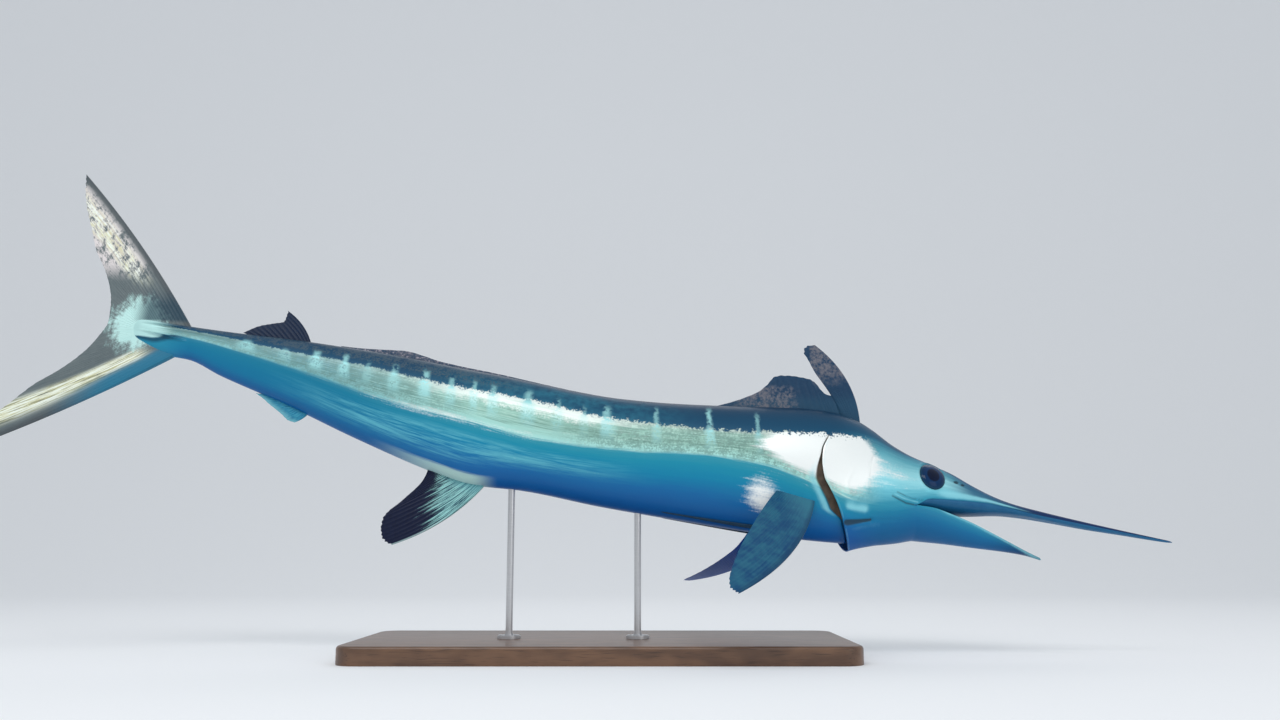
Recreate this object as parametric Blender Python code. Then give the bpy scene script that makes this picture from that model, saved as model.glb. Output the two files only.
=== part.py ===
"""White marlin at life size, nose down and banked, on a flat display stand.

Metres, +Z up. The fish faces +X, and the origin is the centre of the stand's underside.
The body is shaped upright, section by section, and each section is then banked about the spine.
"""

import math

import bmesh
import bpy
from mathutils import Vector

GAP = 0.0003
BANK = math.radians(14.0)

TAIL_END = -0.838
TAIL_FRONT = -0.460
TORSO_MIDDLE = 0.0
NECK = 0.4620
MOUTH_CORNER = 0.535
BILL_TIP = 0.995
JAW_TIP = 0.757

BODY_SIDE_POINTS = 12
HEAD_SIDE_POINTS = 13

COVER_FRONT = 0.475
COVER_TOP = math.radians(60.0)
COVER_FOOT = math.radians(178.0)
COVER_THICKNESS = 0.0030
COVER_REST = 0.0012
COVER_FLARE = 0.0125

EYE_RADIUS = 0.0228
EYE_CENTRE = Vector((0.574, 0.0145, 0.299))
EYE_BACK = 0.008
EYE_SEGMENTS = 16

NOSTRILS = (
    (Vector((0.6165, 0.0270, 0.2900)), (0.0044, 0.0034, 0.0030)),
    (Vector((0.6280, 0.0250, 0.2855)), (0.0030, 0.0030, 0.0024)),
)
JAW_WALL = 0.84
JAW_FLOOR = 0.38

KEEL_REAR = -0.832
KEEL_FRONT = -0.752
KEEL_LIFT = 0.0105
KEEL_HALF_HEIGHT = 0.0030
KEEL_PROUD = 0.0055

TAIL_AXIS_ORIGIN = Vector((-0.840, 0.0, 0.5705))
TAIL_AXIS_PITCH = math.radians(11.6)

FIN_SUNK = 0.012
SHORT_FIN_SUNK = 0.010
FIN_EDGE = 0.0005
FOLDED_RAYS = 24
FOLDED_START = 0.222
FOLDED_STEP = 0.0295
FOLDED_LENGTH = 0.024

PECTORAL_ROOT = Vector((0.330, 0.050, 0.256))
PECTORAL_LENGTH = 0.290
PECTORAL_ROOT_CHORD = Vector((0.927, 0.0, -0.374))
PECTORAL_RIGHT = {
    "side": -1.0, "reach": Vector((-0.350, -0.610, -0.680)),
    "chord": Vector((0.927, 0.0, -0.374)), "sag": 0.0,
}
PECTORAL_LEFT = {
    "side": 1.0, "reach": Vector((-0.566, 0.798, -0.210)),
    "chord": Vector((0.800, 0.580, 0.120)), "sag": 0.024,
}
PECTORAL_TIP_CURL = 0.012

PELVIC_ROOT = 0.335
PELVIC_LENGTH = 0.235
PELVIC_LIE = math.radians(163.0)

BASE_LENGTH = 0.84
BASE_WIDTH = 0.36
BASE_HEIGHT = 0.030
BASE_CORNER = 0.035
BASE_RIM = 0.006
ROD_RADIUS = 0.006
ROD_FLANGE_RADIUS = 0.020
ROD_FLANGE_HEIGHT = 0.006
ROD_LINE = -0.018
ROD_TOP = 0.330
ROD_SEGMENTS = 14
ROD_PLACES = {"stand_rod_front": 0.060, "stand_rod_rear": -0.160}


def smooth_curve(*knots):
    """A curve through (x, value) knots that never swings past them: a monotone cubic."""
    xs = [knot[0] for knot in knots]
    ys = [knot[1] for knot in knots]
    rises = [(ys[i + 1] - ys[i]) / (xs[i + 1] - xs[i]) for i in range(len(xs) - 1)]
    slopes = [rises[0]]
    for before, after in zip(rises, rises[1:]):
        product = before * after
        slopes.append(2.0 * product / (before + after) if product > 0.0 else 0.0)
    slopes.append(rises[-1])

    def value(x):
        if x <= xs[0]:
            return ys[0]
        if x >= xs[-1]:
            return ys[-1]
        i = max(k for k in range(len(xs) - 1) if xs[k] <= x)
        width = xs[i + 1] - xs[i]
        t = (x - xs[i]) / width
        ease = t * t * (3.0 - 2.0 * t)
        start = t * (1.0 - t) ** 2 * width * slopes[i]
        end = t * t * (t - 1.0) * width * slopes[i + 1]
        return ys[i] * (1.0 - ease) + ys[i + 1] * ease + start + end

    return value


def evenly(first, last, count):
    return [first + (last - first) * i / (count - 1) for i in range(count)]


# Lines of the body: back, belly, height of the widest point, and half width there
back = smooth_curve(
    (-0.838, 0.597), (-0.780, 0.584), (-0.730, 0.576), (-0.660, 0.567), (-0.560, 0.556),
    (-0.480, 0.545), (-0.360, 0.526), (-0.260, 0.506), (-0.190, 0.493), (-0.117, 0.477),
    (-0.044, 0.461), (0.030, 0.449), (0.136, 0.440), (0.240, 0.436), (0.353, 0.433),
    (0.410, 0.426), (0.450, 0.412), (0.478, 0.394), (0.512, 0.366), (0.546, 0.345),
    (0.581, 0.329), (0.615, 0.313), (0.648, 0.292), (0.682, 0.273), (0.716, 0.259),
    (0.768, 0.245), (0.853, 0.2245), (0.957, 0.2015), (0.995, 0.1935),
)
belly = smooth_curve(
    (-0.838, 0.543), (-0.779, 0.521), (-0.743, 0.514), (-0.686, 0.485), (-0.576, 0.437),
    (-0.429, 0.367), (-0.286, 0.306), (-0.230, 0.288), (-0.145, 0.279), (-0.006, 0.251),
    (0.133, 0.227), (0.272, 0.204), (0.350, 0.193), (0.420, 0.187), (0.462, 0.184),
    (0.500, 0.187), (0.535, 0.193),
)
widest = smooth_curve(
    (-0.838, 0.571), (-0.760, 0.549), (-0.700, 0.533), (-0.600, 0.506), (-0.500, 0.478),
    (-0.400, 0.449), (-0.300, 0.418), (-0.200, 0.394), (-0.100, 0.378), (0.000, 0.358),
    (0.100, 0.343), (0.200, 0.332), (0.300, 0.324), (0.400, 0.312), (0.462, 0.295),
    (0.500, 0.272), (0.535, 0.250), (0.570, 0.2575), (0.610, 0.2580), (0.660, 0.2560),
    (0.700, 0.2495), (0.750, 0.2385), (0.800, 0.2285), (0.900, 0.2090), (0.995, 0.1922),
)
half_width = smooth_curve(
    (-0.838, 0.0070), (-0.800, 0.0120), (-0.760, 0.0165), (-0.700, 0.0205),
    (-0.500, 0.0340), (-0.200, 0.0500), (0.100, 0.0600), (0.300, 0.0640), (0.400, 0.0620),
    (0.462, 0.0580), (0.500, 0.0535), (0.535, 0.0480), (0.576, 0.0400), (0.620, 0.0315),
    (0.660, 0.0250), (0.700, 0.0190), (0.750, 0.0138), (0.800, 0.0110), (0.900, 0.0075),
    (0.980, 0.0035), (0.995, 0.0014),
)
palate = smooth_curve(
    (0.535, 0.2400), (0.580, 0.2360), (0.640, 0.2345), (0.690, 0.2358), (0.730, 0.2325),
    (0.766, 0.2270), (0.801, 0.2210), (0.836, 0.2150), (0.905, 0.2045), (0.980, 0.1925),
    (0.995, 0.1908),
)
spine = smooth_curve(
    (-1.150, 0.620), (-0.840, 0.567), (-0.700, 0.532), (-0.580, 0.495), (-0.420, 0.447),
    (-0.310, 0.415), (-0.200, 0.3885), (-0.080, 0.367), (0.100, 0.3365), (0.280, 0.320),
    (0.420, 0.304), (0.500, 0.285), (0.600, 0.265), (0.800, 0.232), (0.995, 0.192),
)

# Lines of the lower jaw: its rim, its underside and its half width
jaw_rim = smooth_curve(
    (0.535, 0.2425), (0.565, 0.2400), (0.600, 0.2300), (0.632, 0.2185), (0.666, 0.2030),
    (0.700, 0.1865), (0.734, 0.1700), (0.757, 0.1605),
)
jaw_belly = smooth_curve(
    (0.535, 0.1930), (0.589, 0.1875), (0.641, 0.1805), (0.693, 0.1740), (0.728, 0.1680),
    (0.757, 0.1585),
)
jaw_width = smooth_curve(
    (0.535, 0.0475), (0.575, 0.0400), (0.620, 0.0305), (0.670, 0.0205), (0.715, 0.0115),
    (0.745, 0.0045), (0.757, 0.0014),
)

# Rear edge of the gill cover, by the angle round the section in degrees
cover_rear = smooth_curve(
    (60.0, 0.398), (70.0, 0.388), (80.0, 0.380), (93.0, 0.377), (103.0, 0.379),
    (112.0, 0.388), (122.0, 0.398), (132.0, 0.405), (145.0, 0.411), (156.0, 0.415),
    (178.0, 0.421),
)
cover_spread = smooth_curve((60.0, 0.0), (90.0, 0.12), (120.0, 0.55), (150.0, 0.9), (178.0, 1.0))

# Height of the folded part of the first dorsal above the back
fold_height = smooth_curve(
    (-0.490, 0.0020), (-0.450, 0.0040), (-0.410, 0.0080), (-0.360, 0.0140),
    (-0.330, 0.0110), (-0.300, 0.0070), (-0.200, 0.0045), (-0.100, 0.0030), (0.200, 0.0025),
)


def bank(point):
    """Turn a point about the spine at its own station, right flank up."""
    height = point.z - spine(point.x)
    across = point.y * math.cos(BANK) + height * math.sin(BANK)
    rise = height * math.cos(BANK) - point.y * math.sin(BANK)
    return Vector((point.x, across, spine(point.x) + rise))


def section_point(x, angle, side, low, grow=0.0):
    """A point of the section at x: angle runs from the back down one side, low is its foot."""
    middle = widest(x)
    reach = back(x) + grow - middle if angle <= math.pi / 2 else middle - low + grow
    y = side * (half_width(x) + grow) * math.sin(angle)
    return Vector((x, y, middle + reach * math.cos(angle)))


def section_ring(x, low, side_points, grow=0.0):
    """A closed ring of points from the back, down the left side and up the right."""
    angles = evenly(0.0, math.pi, side_points + 1)
    left = [section_point(x, angle, 1.0, low, grow) for angle in angles]
    right = [section_point(x, angle, -1.0, low, grow) for angle in reversed(angles[1:-1])]
    return left + right


def add_triangles(bm, corners):
    """A four-sided patch as two triangles, always split the same way."""
    a, b, c, d = corners
    bm.faces.new((a, b, c))
    bm.faces.new((a, c, d))


def close_mesh(bm, name):
    bmesh.ops.remove_doubles(bm, verts=bm.verts, dist=1e-6)
    bmesh.ops.recalc_face_normals(bm, faces=bm.faces)
    mesh = bpy.data.meshes.new(name)
    bm.to_mesh(mesh)
    bm.free()
    return mesh


def loft(name, rings):
    """A closed skin over rings of equal count, flat at both ends."""
    bm = bmesh.new()
    rows = [[bm.verts.new(point) for point in ring] for ring in rings]
    count = len(rings[0])
    for row, following in zip(rows, rows[1:]):
        for i in range(count):
            j = (i + 1) % count
            add_triangles(bm, (row[i], row[j], following[j], following[i]))
    bm.faces.new(rows[0])
    bm.faces.new(rows[-1])
    return close_mesh(bm, name)


def slab(name, grid, back_grid):
    """A closed plate between two grids of points, triangulated alike on both faces."""
    bm = bmesh.new()
    fronts = [[bm.verts.new(point) for point in line] for line in grid]
    backs = [[bm.verts.new(point) for point in line] for line in back_grid]
    last_i = len(grid) - 1
    last_j = len(grid[0]) - 1
    for i in range(last_i):
        for j in range(last_j):
            for face in (fronts, backs):
                add_triangles(bm, (face[i][j], face[i + 1][j], face[i + 1][j + 1], face[i][j + 1]))
    for i in range(last_i):
        for j in (0, last_j):
            add_triangles(bm, (fronts[i][j], fronts[i + 1][j], backs[i + 1][j], backs[i][j]))
    for j in range(last_j):
        for i in (0, last_i):
            add_triangles(bm, (fronts[i][j], fronts[i][j + 1], backs[i][j + 1], backs[i][j]))
    return close_mesh(bm, name)


def material(name, colour, roughness, metallic=0.0):
    made = bpy.data.materials.new(name)
    made.use_nodes = True
    shader = made.node_tree.nodes["Principled BSDF"]
    shader.inputs["Base Color"].default_value = (*colour, 1.0)
    shader.inputs["Roughness"].default_value = roughness
    shader.inputs["Metallic"].default_value = metallic
    return made


def add_object(name, mesh, finish=None):
    thing = bpy.data.objects.new(name, mesh)
    bpy.context.scene.collection.objects.link(thing)
    if finish is not None:
        mesh.materials.append(finish)
    return thing


def largest_piece(bm):
    """Keep the closed surface with the most volume, and drop loose scraps and sealed hollows."""
    bm.verts.index_update()
    seen = set()
    pieces = []
    for start in bm.verts:
        if start.index in seen:
            continue
        seen.add(start.index)
        piece = [start]
        for vert in piece:
            for edge in vert.link_edges:
                other = edge.other_vert(vert)
                if other.index not in seen:
                    seen.add(other.index)
                    piece.append(other)
        pieces.append(piece)

    def size(piece):
        spans = [[vert.co[axis] for vert in piece] for axis in range(3)]
        return sum(max(span) - min(span) for span in spans)

    keep = max(pieces, key=size)
    for piece in pieces:
        if piece is not keep:
            bmesh.ops.delete(bm, geom=piece, context="VERTS")


def combine(thing, others, operation):
    """Join others to thing, or cut them from it, and remove them."""
    group = bpy.data.collections.new("group")
    bpy.context.scene.collection.children.link(group)
    for other in others:
        group.objects.link(other)
        other.hide_render = True
        other.display_type = "WIRE"
    change = thing.modifiers.new("combine", "BOOLEAN")
    change.operation = operation
    change.solver = "EXACT"
    change.operand_type = "COLLECTION"
    change.collection = group
    evaluated = thing.evaluated_get(bpy.context.evaluated_depsgraph_get())
    result = bpy.data.meshes.new_from_object(evaluated)
    thing.modifiers.remove(change)
    bm = bmesh.new()
    bm.from_mesh(result)
    bmesh.ops.triangulate(bm, faces=bm.faces)
    largest_piece(bm)
    bm.to_mesh(thing.data)
    bm.free()
    bpy.data.meshes.remove(result)
    for other in others:
        bpy.data.objects.remove(other)
    bpy.data.collections.remove(group)


def finish_object(thing, sharp_degrees=35.0, banked=True):
    """Bank a part of the fish, then shade it smooth up to its sharp edges."""
    if banked:
        for vert in thing.data.vertices:
            vert.co = bank(vert.co)
    thing.data.shade_smooth()
    thing.data.set_sharp_from_angle(angle=math.radians(sharp_degrees))


TRUNK_STATIONS = {
    "tail": evenly(TAIL_END, TAIL_FRONT - GAP / 2, 14),
    "torso_rear": evenly(TAIL_FRONT + GAP / 2, TORSO_MIDDLE - GAP / 2, 13),
    "torso_front": evenly(TORSO_MIDDLE + GAP / 2, NECK - GAP / 2, 15),
}


def trunk_rings(places, grow=0.0):
    return [section_ring(x, belly(x), BODY_SIDE_POINTS, grow) for x in places]


def trunk_cutter():
    """The whole trunk, larger by the gap, that clears the root of a fin."""
    places = [x for stations in TRUNK_STATIONS.values() for x in stations]
    rings = trunk_rings(places, GAP)
    for point in rings[0]:
        point.x -= GAP
    return add_object("trunk_cutter", loft("trunk_cutter", rings))


def ellipsoid(name, centre, radii, segments=8, rings=6):
    bm = bmesh.new()
    bmesh.ops.create_uvsphere(bm, u_segments=segments, v_segments=rings, radius=1.0)
    bmesh.ops.scale(bm, vec=radii, verts=bm.verts)
    bmesh.ops.translate(bm, vec=centre, verts=bm.verts)
    return add_object(name, close_mesh(bm, name))


def eye_mesh(name, side, grow=0.0):
    """A ball cut flat at its inner side, its axis across the head."""
    radius = EYE_RADIUS + grow
    flat = math.acos((EYE_BACK - grow - EYE_CENTRE.y) / radius)
    bm = bmesh.new()
    rows = []
    for turn in evenly(0.12, flat, 7):
        ring = []
        for step in range(EYE_SEGMENTS):
            around = 2.0 * math.pi * step / EYE_SEGMENTS
            y = side * (EYE_CENTRE.y + radius * math.cos(turn))
            reach = radius * math.sin(turn)
            x = EYE_CENTRE.x + reach * math.cos(around)
            z = EYE_CENTRE.z + reach * math.sin(around)
            ring.append(bm.verts.new((x, y, z)))
        rows.append(ring)
    for row, following in zip(rows, rows[1:]):
        for i in range(EYE_SEGMENTS):
            j = (i + 1) % EYE_SEGMENTS
            bm.faces.new((row[i], row[j], following[j], following[i]))
    bm.faces.new(rows[0])
    bm.faces.new(rows[-1])
    return close_mesh(bm, name)


def cover_plate(name, side, inner, outer, edge=0.0):
    """The gill cover as a curved plate: inner and outer are depths from its outer face."""
    grids = ([], [])
    for u in evenly(0.0, 1.0, 6):
        lines = ([], [])
        for angle in evenly(COVER_TOP - edge * 20.0, COVER_FOOT, 13):
            degrees = math.degrees(angle)
            front = COVER_FRONT + edge
            rear = cover_rear(degrees) - edge
            x = front + (rear - front) * u
            spread = cover_spread(degrees)
            proud = u ** 1.6 * (COVER_REST + COVER_FLARE * spread)
            for line, depth in zip(lines, (outer, -inner)):
                grow = proud + depth
                line.append(section_point(x, angle, side, belly(x), grow))
        grids[0].append(lines[0])
        grids[1].append(lines[1])
    return add_object(name, slab(name, *grids))


def make_trunk(skin):
    """Torso and tail as lengths that meet on flat faces, and the head's recess for the covers."""
    made = {}
    for name, stations in TRUNK_STATIONS.items():
        made[name] = add_object(name, loft(name, trunk_rings(stations)), skin)
    combine(made["torso_front"], cover_cutters(), "DIFFERENCE")
    combine(made["tail"], keels(), "UNION")
    for thing in made.values():
        finish_object(thing)


def cover_cutters():
    return [cover_plate("cutter", side, COVER_THICKNESS + GAP, 0.004, GAP) for side in (1.0, -1.0)]


def flank_width(x, z):
    """How far the body's side lies from its middle plane at a height above its widest point."""
    share = (z - widest(x)) / (back(x) - widest(x))
    return half_width(x) * math.sqrt(1.0 - min(0.9, share * share))


def keels():
    """Two low keels on each side of the tail root, drawing together towards the fin."""
    pieces = []
    for side in (1.0, -1.0):
        for lift in (1.0, -1.0):
            rings = []
            for x in evenly(KEEL_REAR, KEEL_FRONT, 7):
                t = (x - KEEL_REAR) / (KEEL_FRONT - KEEL_REAR)
                height = spine(x) + KEEL_LIFT + lift * (0.0085 + 0.0045 * t)
                proud = KEEL_PROUD * math.sin(math.pi * (0.08 + 0.90 * (1.0 - t)))
                flank = flank_width(x, height)
                top = flank + proud
                root = flank * 0.5
                rings.append(
                    [
                        Vector((x, side * root, height + KEEL_HALF_HEIGHT)),
                        Vector((x, side * top, height + KEEL_HALF_HEIGHT * 0.25)),
                        Vector((x, side * top, height - KEEL_HALF_HEIGHT * 0.25)),
                        Vector((x, side * root, height - KEEL_HALF_HEIGHT)),
                    ]
                )
            pieces.append(add_object("keel", loft("keel", rings)))
    return pieces


def make_head(skin):
    """Skull, cheeks and upper jaw with its bill; the mouth's back wall is flat."""
    rear = evenly(NECK + GAP / 2, MOUTH_CORNER, 5)
    rings = [section_ring(x, belly(x), HEAD_SIDE_POINTS) for x in rear]
    jaw = evenly(MOUTH_CORNER, 0.760, 14) + evenly(0.790, BILL_TIP, 7)
    rings += [section_ring(x, palate(x), HEAD_SIDE_POINTS) for x in jaw]
    head = add_object("head", loft("head", rings), skin)
    cutters = cover_cutters()
    for side in (1.0, -1.0):
        cutters.append(add_object("socket", eye_mesh("socket", side, GAP)))
        for centre, radii in NOSTRILS:
            place = Vector((centre.x, side * centre.y, centre.z))
            cutters.append(ellipsoid("nostril", place, radii))
    combine(head, cutters, "DIFFERENCE")
    finish_object(head)


def make_lower_jaw(skin):
    """A pointed trough that hangs open below the upper jaw."""
    rings = []
    for x in evenly(MOUTH_CORNER + GAP, JAW_TIP, 14):
        rim = jaw_rim(x)
        foot = jaw_belly(x)
        width = jaw_width(x)
        floor = foot + JAW_FLOOR * (rim - foot)
        outer = evenly(-math.pi / 2, math.pi / 2, 15)
        ring = [Vector((x, width * math.sin(t), rim - (rim - foot) * math.cos(t))) for t in outer]
        inner = evenly(math.pi / 2, -math.pi / 2, 11)
        ring += [
            Vector((x, JAW_WALL * width * math.sin(t), rim - (rim - floor) * math.cos(t)))
            for t in inner
        ]
        rings.append(ring)
    jaw = add_object("lower_jaw", loft("lower_jaw", rings), skin)
    finish_object(jaw)


def make_covers(skin):
    for name, side in (("gill_cover_right", -1.0), ("gill_cover_left", 1.0)):
        cover = cover_plate(name, side, COVER_THICKNESS, 0.0)
        cover.data.materials.append(skin)
        finish_object(cover)


def make_eyes(glass):
    for name, side in (("eye_right", -1.0), ("eye_left", 1.0)):
        finish_object(add_object(name, eye_mesh(name, side), glass))


def fan(name, guides, rays, rows, surface, root_half, edge_half, ridge_half):
    """A fin of rays that spread from its root: each guide is (root, end, bow) on the fin's surface.

    The surface turns two such measures into a point and its normal. Every second column is a
    ray, thicker than the membrane between it and the next.
    """
    steps = [i / (len(guides) - 1) for i in range(len(guides))]

    def line(pick):
        return smooth_curve(*[(step, pick(guide)) for step, guide in zip(steps, guides)])

    root_a = line(lambda guide: guide[0][0])
    root_b = line(lambda guide: guide[0][1])
    end_a = line(lambda guide: guide[1][0])
    end_b = line(lambda guide: guide[1][1])
    bow = line(lambda guide: guide[2])
    columns = 2 * rays - 1
    grid = []
    back_grid = []
    for column in range(columns):
        s = column / (columns - 1)
        root = Vector((root_a(s), root_b(s)))
        end = Vector((end_a(s), end_b(s)))
        along = end - root
        sideways = Vector((-along.y, along.x)).normalized()
        control = (root + end) / 2 + sideways * 2.0 * bow(s)
        on_ray = column % 2 == 0
        line_front = []
        line_back = []
        for row in range(rows):
            t = row / (rows - 1)
            spot = root * (1 - t) ** 2 + control * 2 * t * (1 - t) + end * t * t
            half = root_half(s) * (1 - t) + edge_half * t
            if on_ray:
                half += ridge_half * math.sin(math.pi * (0.15 + 0.8 * t))
            centre, normal = surface(spot.x, spot.y)
            line_front.append(centre + normal * half)
            line_back.append(centre - normal * half)
        grid.append(line_front)
        back_grid.append(line_back)
    return add_object(name, slab(name, grid, back_grid))


def middle_plane(x, z):
    return Vector((x, 0.0, z)), Vector((0.0, 1.0, 0.0))


def seat(fin, finish):
    """Clear the root of a fin from the trunk by the gap, then bank it."""
    combine(fin, [trunk_cutter()], "DIFFERENCE")
    fin.data.materials.append(finish)
    finish_object(fin, 50.0)


def make_median_fins(finish):
    raised = [
        (0.461, 0.389, 0.562, -0.0225), (0.456, 0.372, 0.560, -0.018),
        (0.451, 0.366, 0.549, -0.015), (0.447, 0.373, 0.534, -0.011),
        (0.443, 0.380, 0.518, -0.007), (0.439, 0.388, 0.502, -0.004),
        (0.435, 0.399, 0.488, -0.002), (0.431, 0.412, 0.475, 0.0),
        (0.427, 0.419, 0.461, 0.0), (0.422, 0.405, 0.463, 0.0),
        (0.416, 0.394, 0.473, 0.0), (0.408, 0.386, 0.485, 0.0),
        (0.397, 0.378, 0.492, 0.0), (0.382, 0.362, 0.497, 0.0),
        (0.362, 0.343, 0.500, 0.0), (0.342, 0.325, 0.501, 0.0),
        (0.324, 0.309, 0.497, 0.0), (0.308, 0.298, 0.484, 0.0),
        (0.293, 0.281, 0.469, 0.0), (0.273, 0.256, 0.457, 0.0),
        (0.250, 0.228, 0.447, 0.0),
    ]
    guides = [((x, back(x) - FIN_SUNK), (ex, ez), bow) for x, ex, ez, bow in raised]
    for i in range(FOLDED_RAYS):
        x = FOLDED_START - FOLDED_STEP * i
        end = x - FOLDED_LENGTH
        guides.append(((x, back(x) - FIN_SUNK), (end, back(end) + fold_height(end)), 0.0))
    dorsal_root = smooth_curve((0.0, 0.0030), (0.40, 0.0022), (0.55, 0.0030), (1.0, 0.0030))
    first = fan(
        "dorsal_fin_first", guides, 36, 5, middle_plane, dorsal_root, FIN_EDGE, 0.0008
    )
    seat(first, finish)

    second_dorsal = [
        (-0.531, -0.583, 0.616, -0.008), (-0.538, -0.585, 0.604, -0.005),
        (-0.547, -0.588, 0.594, -0.002), (-0.562, -0.601, 0.591, 0.0),
        (-0.577, -0.616, 0.588, 0.0), (-0.592, -0.631, 0.584, 0.0),
        (-0.606, -0.645, 0.577, 0.0), (-0.618, -0.657, 0.570, 0.0),
    ]
    guides = [((x, back(x) - SHORT_FIN_SUNK), (ex, ez), bow) for x, ex, ez, bow in second_dorsal]
    fin = fan(
        "dorsal_fin_second", guides, 7, 5, middle_plane,
        smooth_curve((0.0, 0.0028), (1.0, 0.0020)), FIN_EDGE, 0.0006,
    )
    seat(fin, finish)

    second_anal = [
        (-0.520, -0.545, 0.398, 0.003), (-0.527, -0.557, 0.402, 0.002),
        (-0.536, -0.568, 0.412, 0.0), (-0.546, -0.579, 0.421, 0.0),
        (-0.557, -0.592, 0.431, 0.0), (-0.568, -0.606, 0.443, 0.0),
        (-0.578, -0.619, 0.452, 0.0),
    ]
    guides = [((x, belly(x) + SHORT_FIN_SUNK), (ex, ez), bow) for x, ex, ez, bow in second_anal]
    fin = fan(
        "anal_fin_second", guides, 7, 4, middle_plane,
        smooth_curve((0.0, 0.0026), (1.0, 0.0018)), FIN_EDGE, 0.0006,
    )
    seat(fin, finish)

    first_anal = [
        (-0.202, -0.357, 0.180, 0.015), (-0.212, -0.370, 0.186, 0.012),
        (-0.222, -0.377, 0.197, 0.009), (-0.232, -0.379, 0.212, 0.006),
        (-0.243, -0.376, 0.228, 0.003), (-0.254, -0.366, 0.241, 0.0),
        (-0.265, -0.352, 0.253, 0.0), (-0.276, -0.339, 0.266, 0.0),
        (-0.287, -0.326, 0.279, 0.0), (-0.298, -0.316, 0.291, 0.0),
        (-0.306, -0.309, 0.304, 0.0),
    ]
    guides = [((x + 0.003, belly(x) + FIN_SUNK), (ex, ez), bow) for x, ex, ez, bow in first_anal]
    fin = fan(
        "anal_fin_first", guides, 11, 6, middle_plane,
        smooth_curve((0.0, 0.0042), (1.0, 0.0028)), FIN_EDGE, 0.0009,
    )
    seat(fin, finish)


def make_caudal_fin(finish):
    """Two equal lobes about the tail's axis: a runs back along it and b away from it."""
    backwards = Vector((-math.cos(TAIL_AXIS_PITCH), 0.0, math.sin(TAIL_AXIS_PITCH)))
    upwards = Vector((math.sin(TAIL_AXIS_PITCH), 0.0, math.cos(TAIL_AXIS_PITCH)))
    lobe = [
        ((-0.095, 0.018), (0.222, 0.290), 0.0095), ((-0.070, 0.019), (0.213, 0.262), 0.0085),
        ((-0.048, 0.020), (0.192, 0.220), 0.0070), ((-0.032, 0.019), (0.166, 0.180), 0.0055),
        ((-0.020, 0.017), (0.141, 0.140), 0.0045), ((-0.012, 0.014), (0.110, 0.105), 0.0035),
        ((-0.006, 0.011), (0.089, 0.076), 0.0020), ((-0.003, 0.008), (0.075, 0.050), 0.0010),
        ((-0.001, 0.004), (0.066, 0.023), 0.0000), ((0.000, 0.0002), (0.061, 0.0002), 0.0000),
    ]
    for name, turn in (("caudal_fin_upper", 1.0), ("caudal_fin_lower", -1.0)):

        def surface(a, b, turn=turn):
            spot = TAIL_AXIS_ORIGIN + backwards * a + upwards * b * turn
            return spot, Vector((0.0, 1.0, 0.0))

        fin = fan(
            name, lobe, 13, 7, surface,
            smooth_curve((0.0, 0.0065), (1.0, 0.0050)), 0.0006, 0.0009,
        )
        seat(fin, finish)


def make_pectoral_fins(finish):
    """Long blades held out and down: a runs out to the tip and b forward across the blade."""
    rays = [
        (0.031, 0.290, -0.014, 0.026), (0.023, 0.288, -0.027, 0.019), (0.015, 0.270, -0.037, 0.015),
        (0.007, 0.232, -0.042, 0.010), (-0.001, 0.186, -0.044, 0.006), (-0.009, 0.138, -0.043, 0.003),
        (-0.017, 0.090, -0.041, 0.001), (-0.024, 0.048, -0.038, 0.0), (-0.031, 0.012, -0.034, 0.0),
    ]
    blade = [((-FIN_SUNK, root), (a, b), bow) for root, a, b, bow in rays]
    for name, pose in (("pectoral_fin_right", PECTORAL_RIGHT), ("pectoral_fin_left", PECTORAL_LEFT)):
        side = pose["side"]
        outwards = pose["reach"].normalized()
        root = Vector((PECTORAL_ROOT.x, side * PECTORAL_ROOT.y, PECTORAL_ROOT.z))

        def surface(a, b, pose=pose, side=side, outwards=outwards, root=root):
            t = min(1.0, max(0.0, a / PECTORAL_LENGTH))
            turn = min(1.0, t / 0.4)
            chord = PECTORAL_ROOT_CHORD.lerp(pose["chord"], turn * turn * (3.0 - 2.0 * turn))
            forwards = (chord - outwards * chord.dot(outwards)).normalized()
            normal = outwards.cross(forwards).normalized() * -side
            spot = root + outwards * a + forwards * b - normal * PECTORAL_TIP_CURL * t * t
            spot.z -= pose["sag"] * 4.0 * t * (1.0 - t)
            return spot, normal

        fin = fan(
            name, blade, 10, 8, surface,
            smooth_curve((0.0, 0.0040), (1.0, 0.0026)), FIN_EDGE, 0.0009,
        )
        seat(fin, finish)


def make_pelvic_fins(finish):
    """Slim blades laid back along the belly."""
    for name, side in (("pelvic_fin_right", -1.0), ("pelvic_fin_left", 1.0)):
        rings = []
        for x in evenly(PELVIC_ROOT, PELVIC_ROOT - PELVIC_LENGTH, 13):
            t = (PELVIC_ROOT - x) / PELVIC_LENGTH
            half = 0.0048 * (1.0 - t) + 0.0012
            swing = math.radians(1.0) * half / 0.0012
            thick = 0.0028 * (1.0 - t) + 0.0012
            ring = []
            for angle, depth in (
                (PELVIC_LIE - swing, -0.003), (PELVIC_LIE + swing, -0.003),
                (PELVIC_LIE + swing, thick), (PELVIC_LIE - swing, thick),
            ):
                ring.append(section_point(x, angle, side, belly(x), depth))
            rings.append(ring)
        seat(add_object(name, loft(name, rings)), finish)


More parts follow.
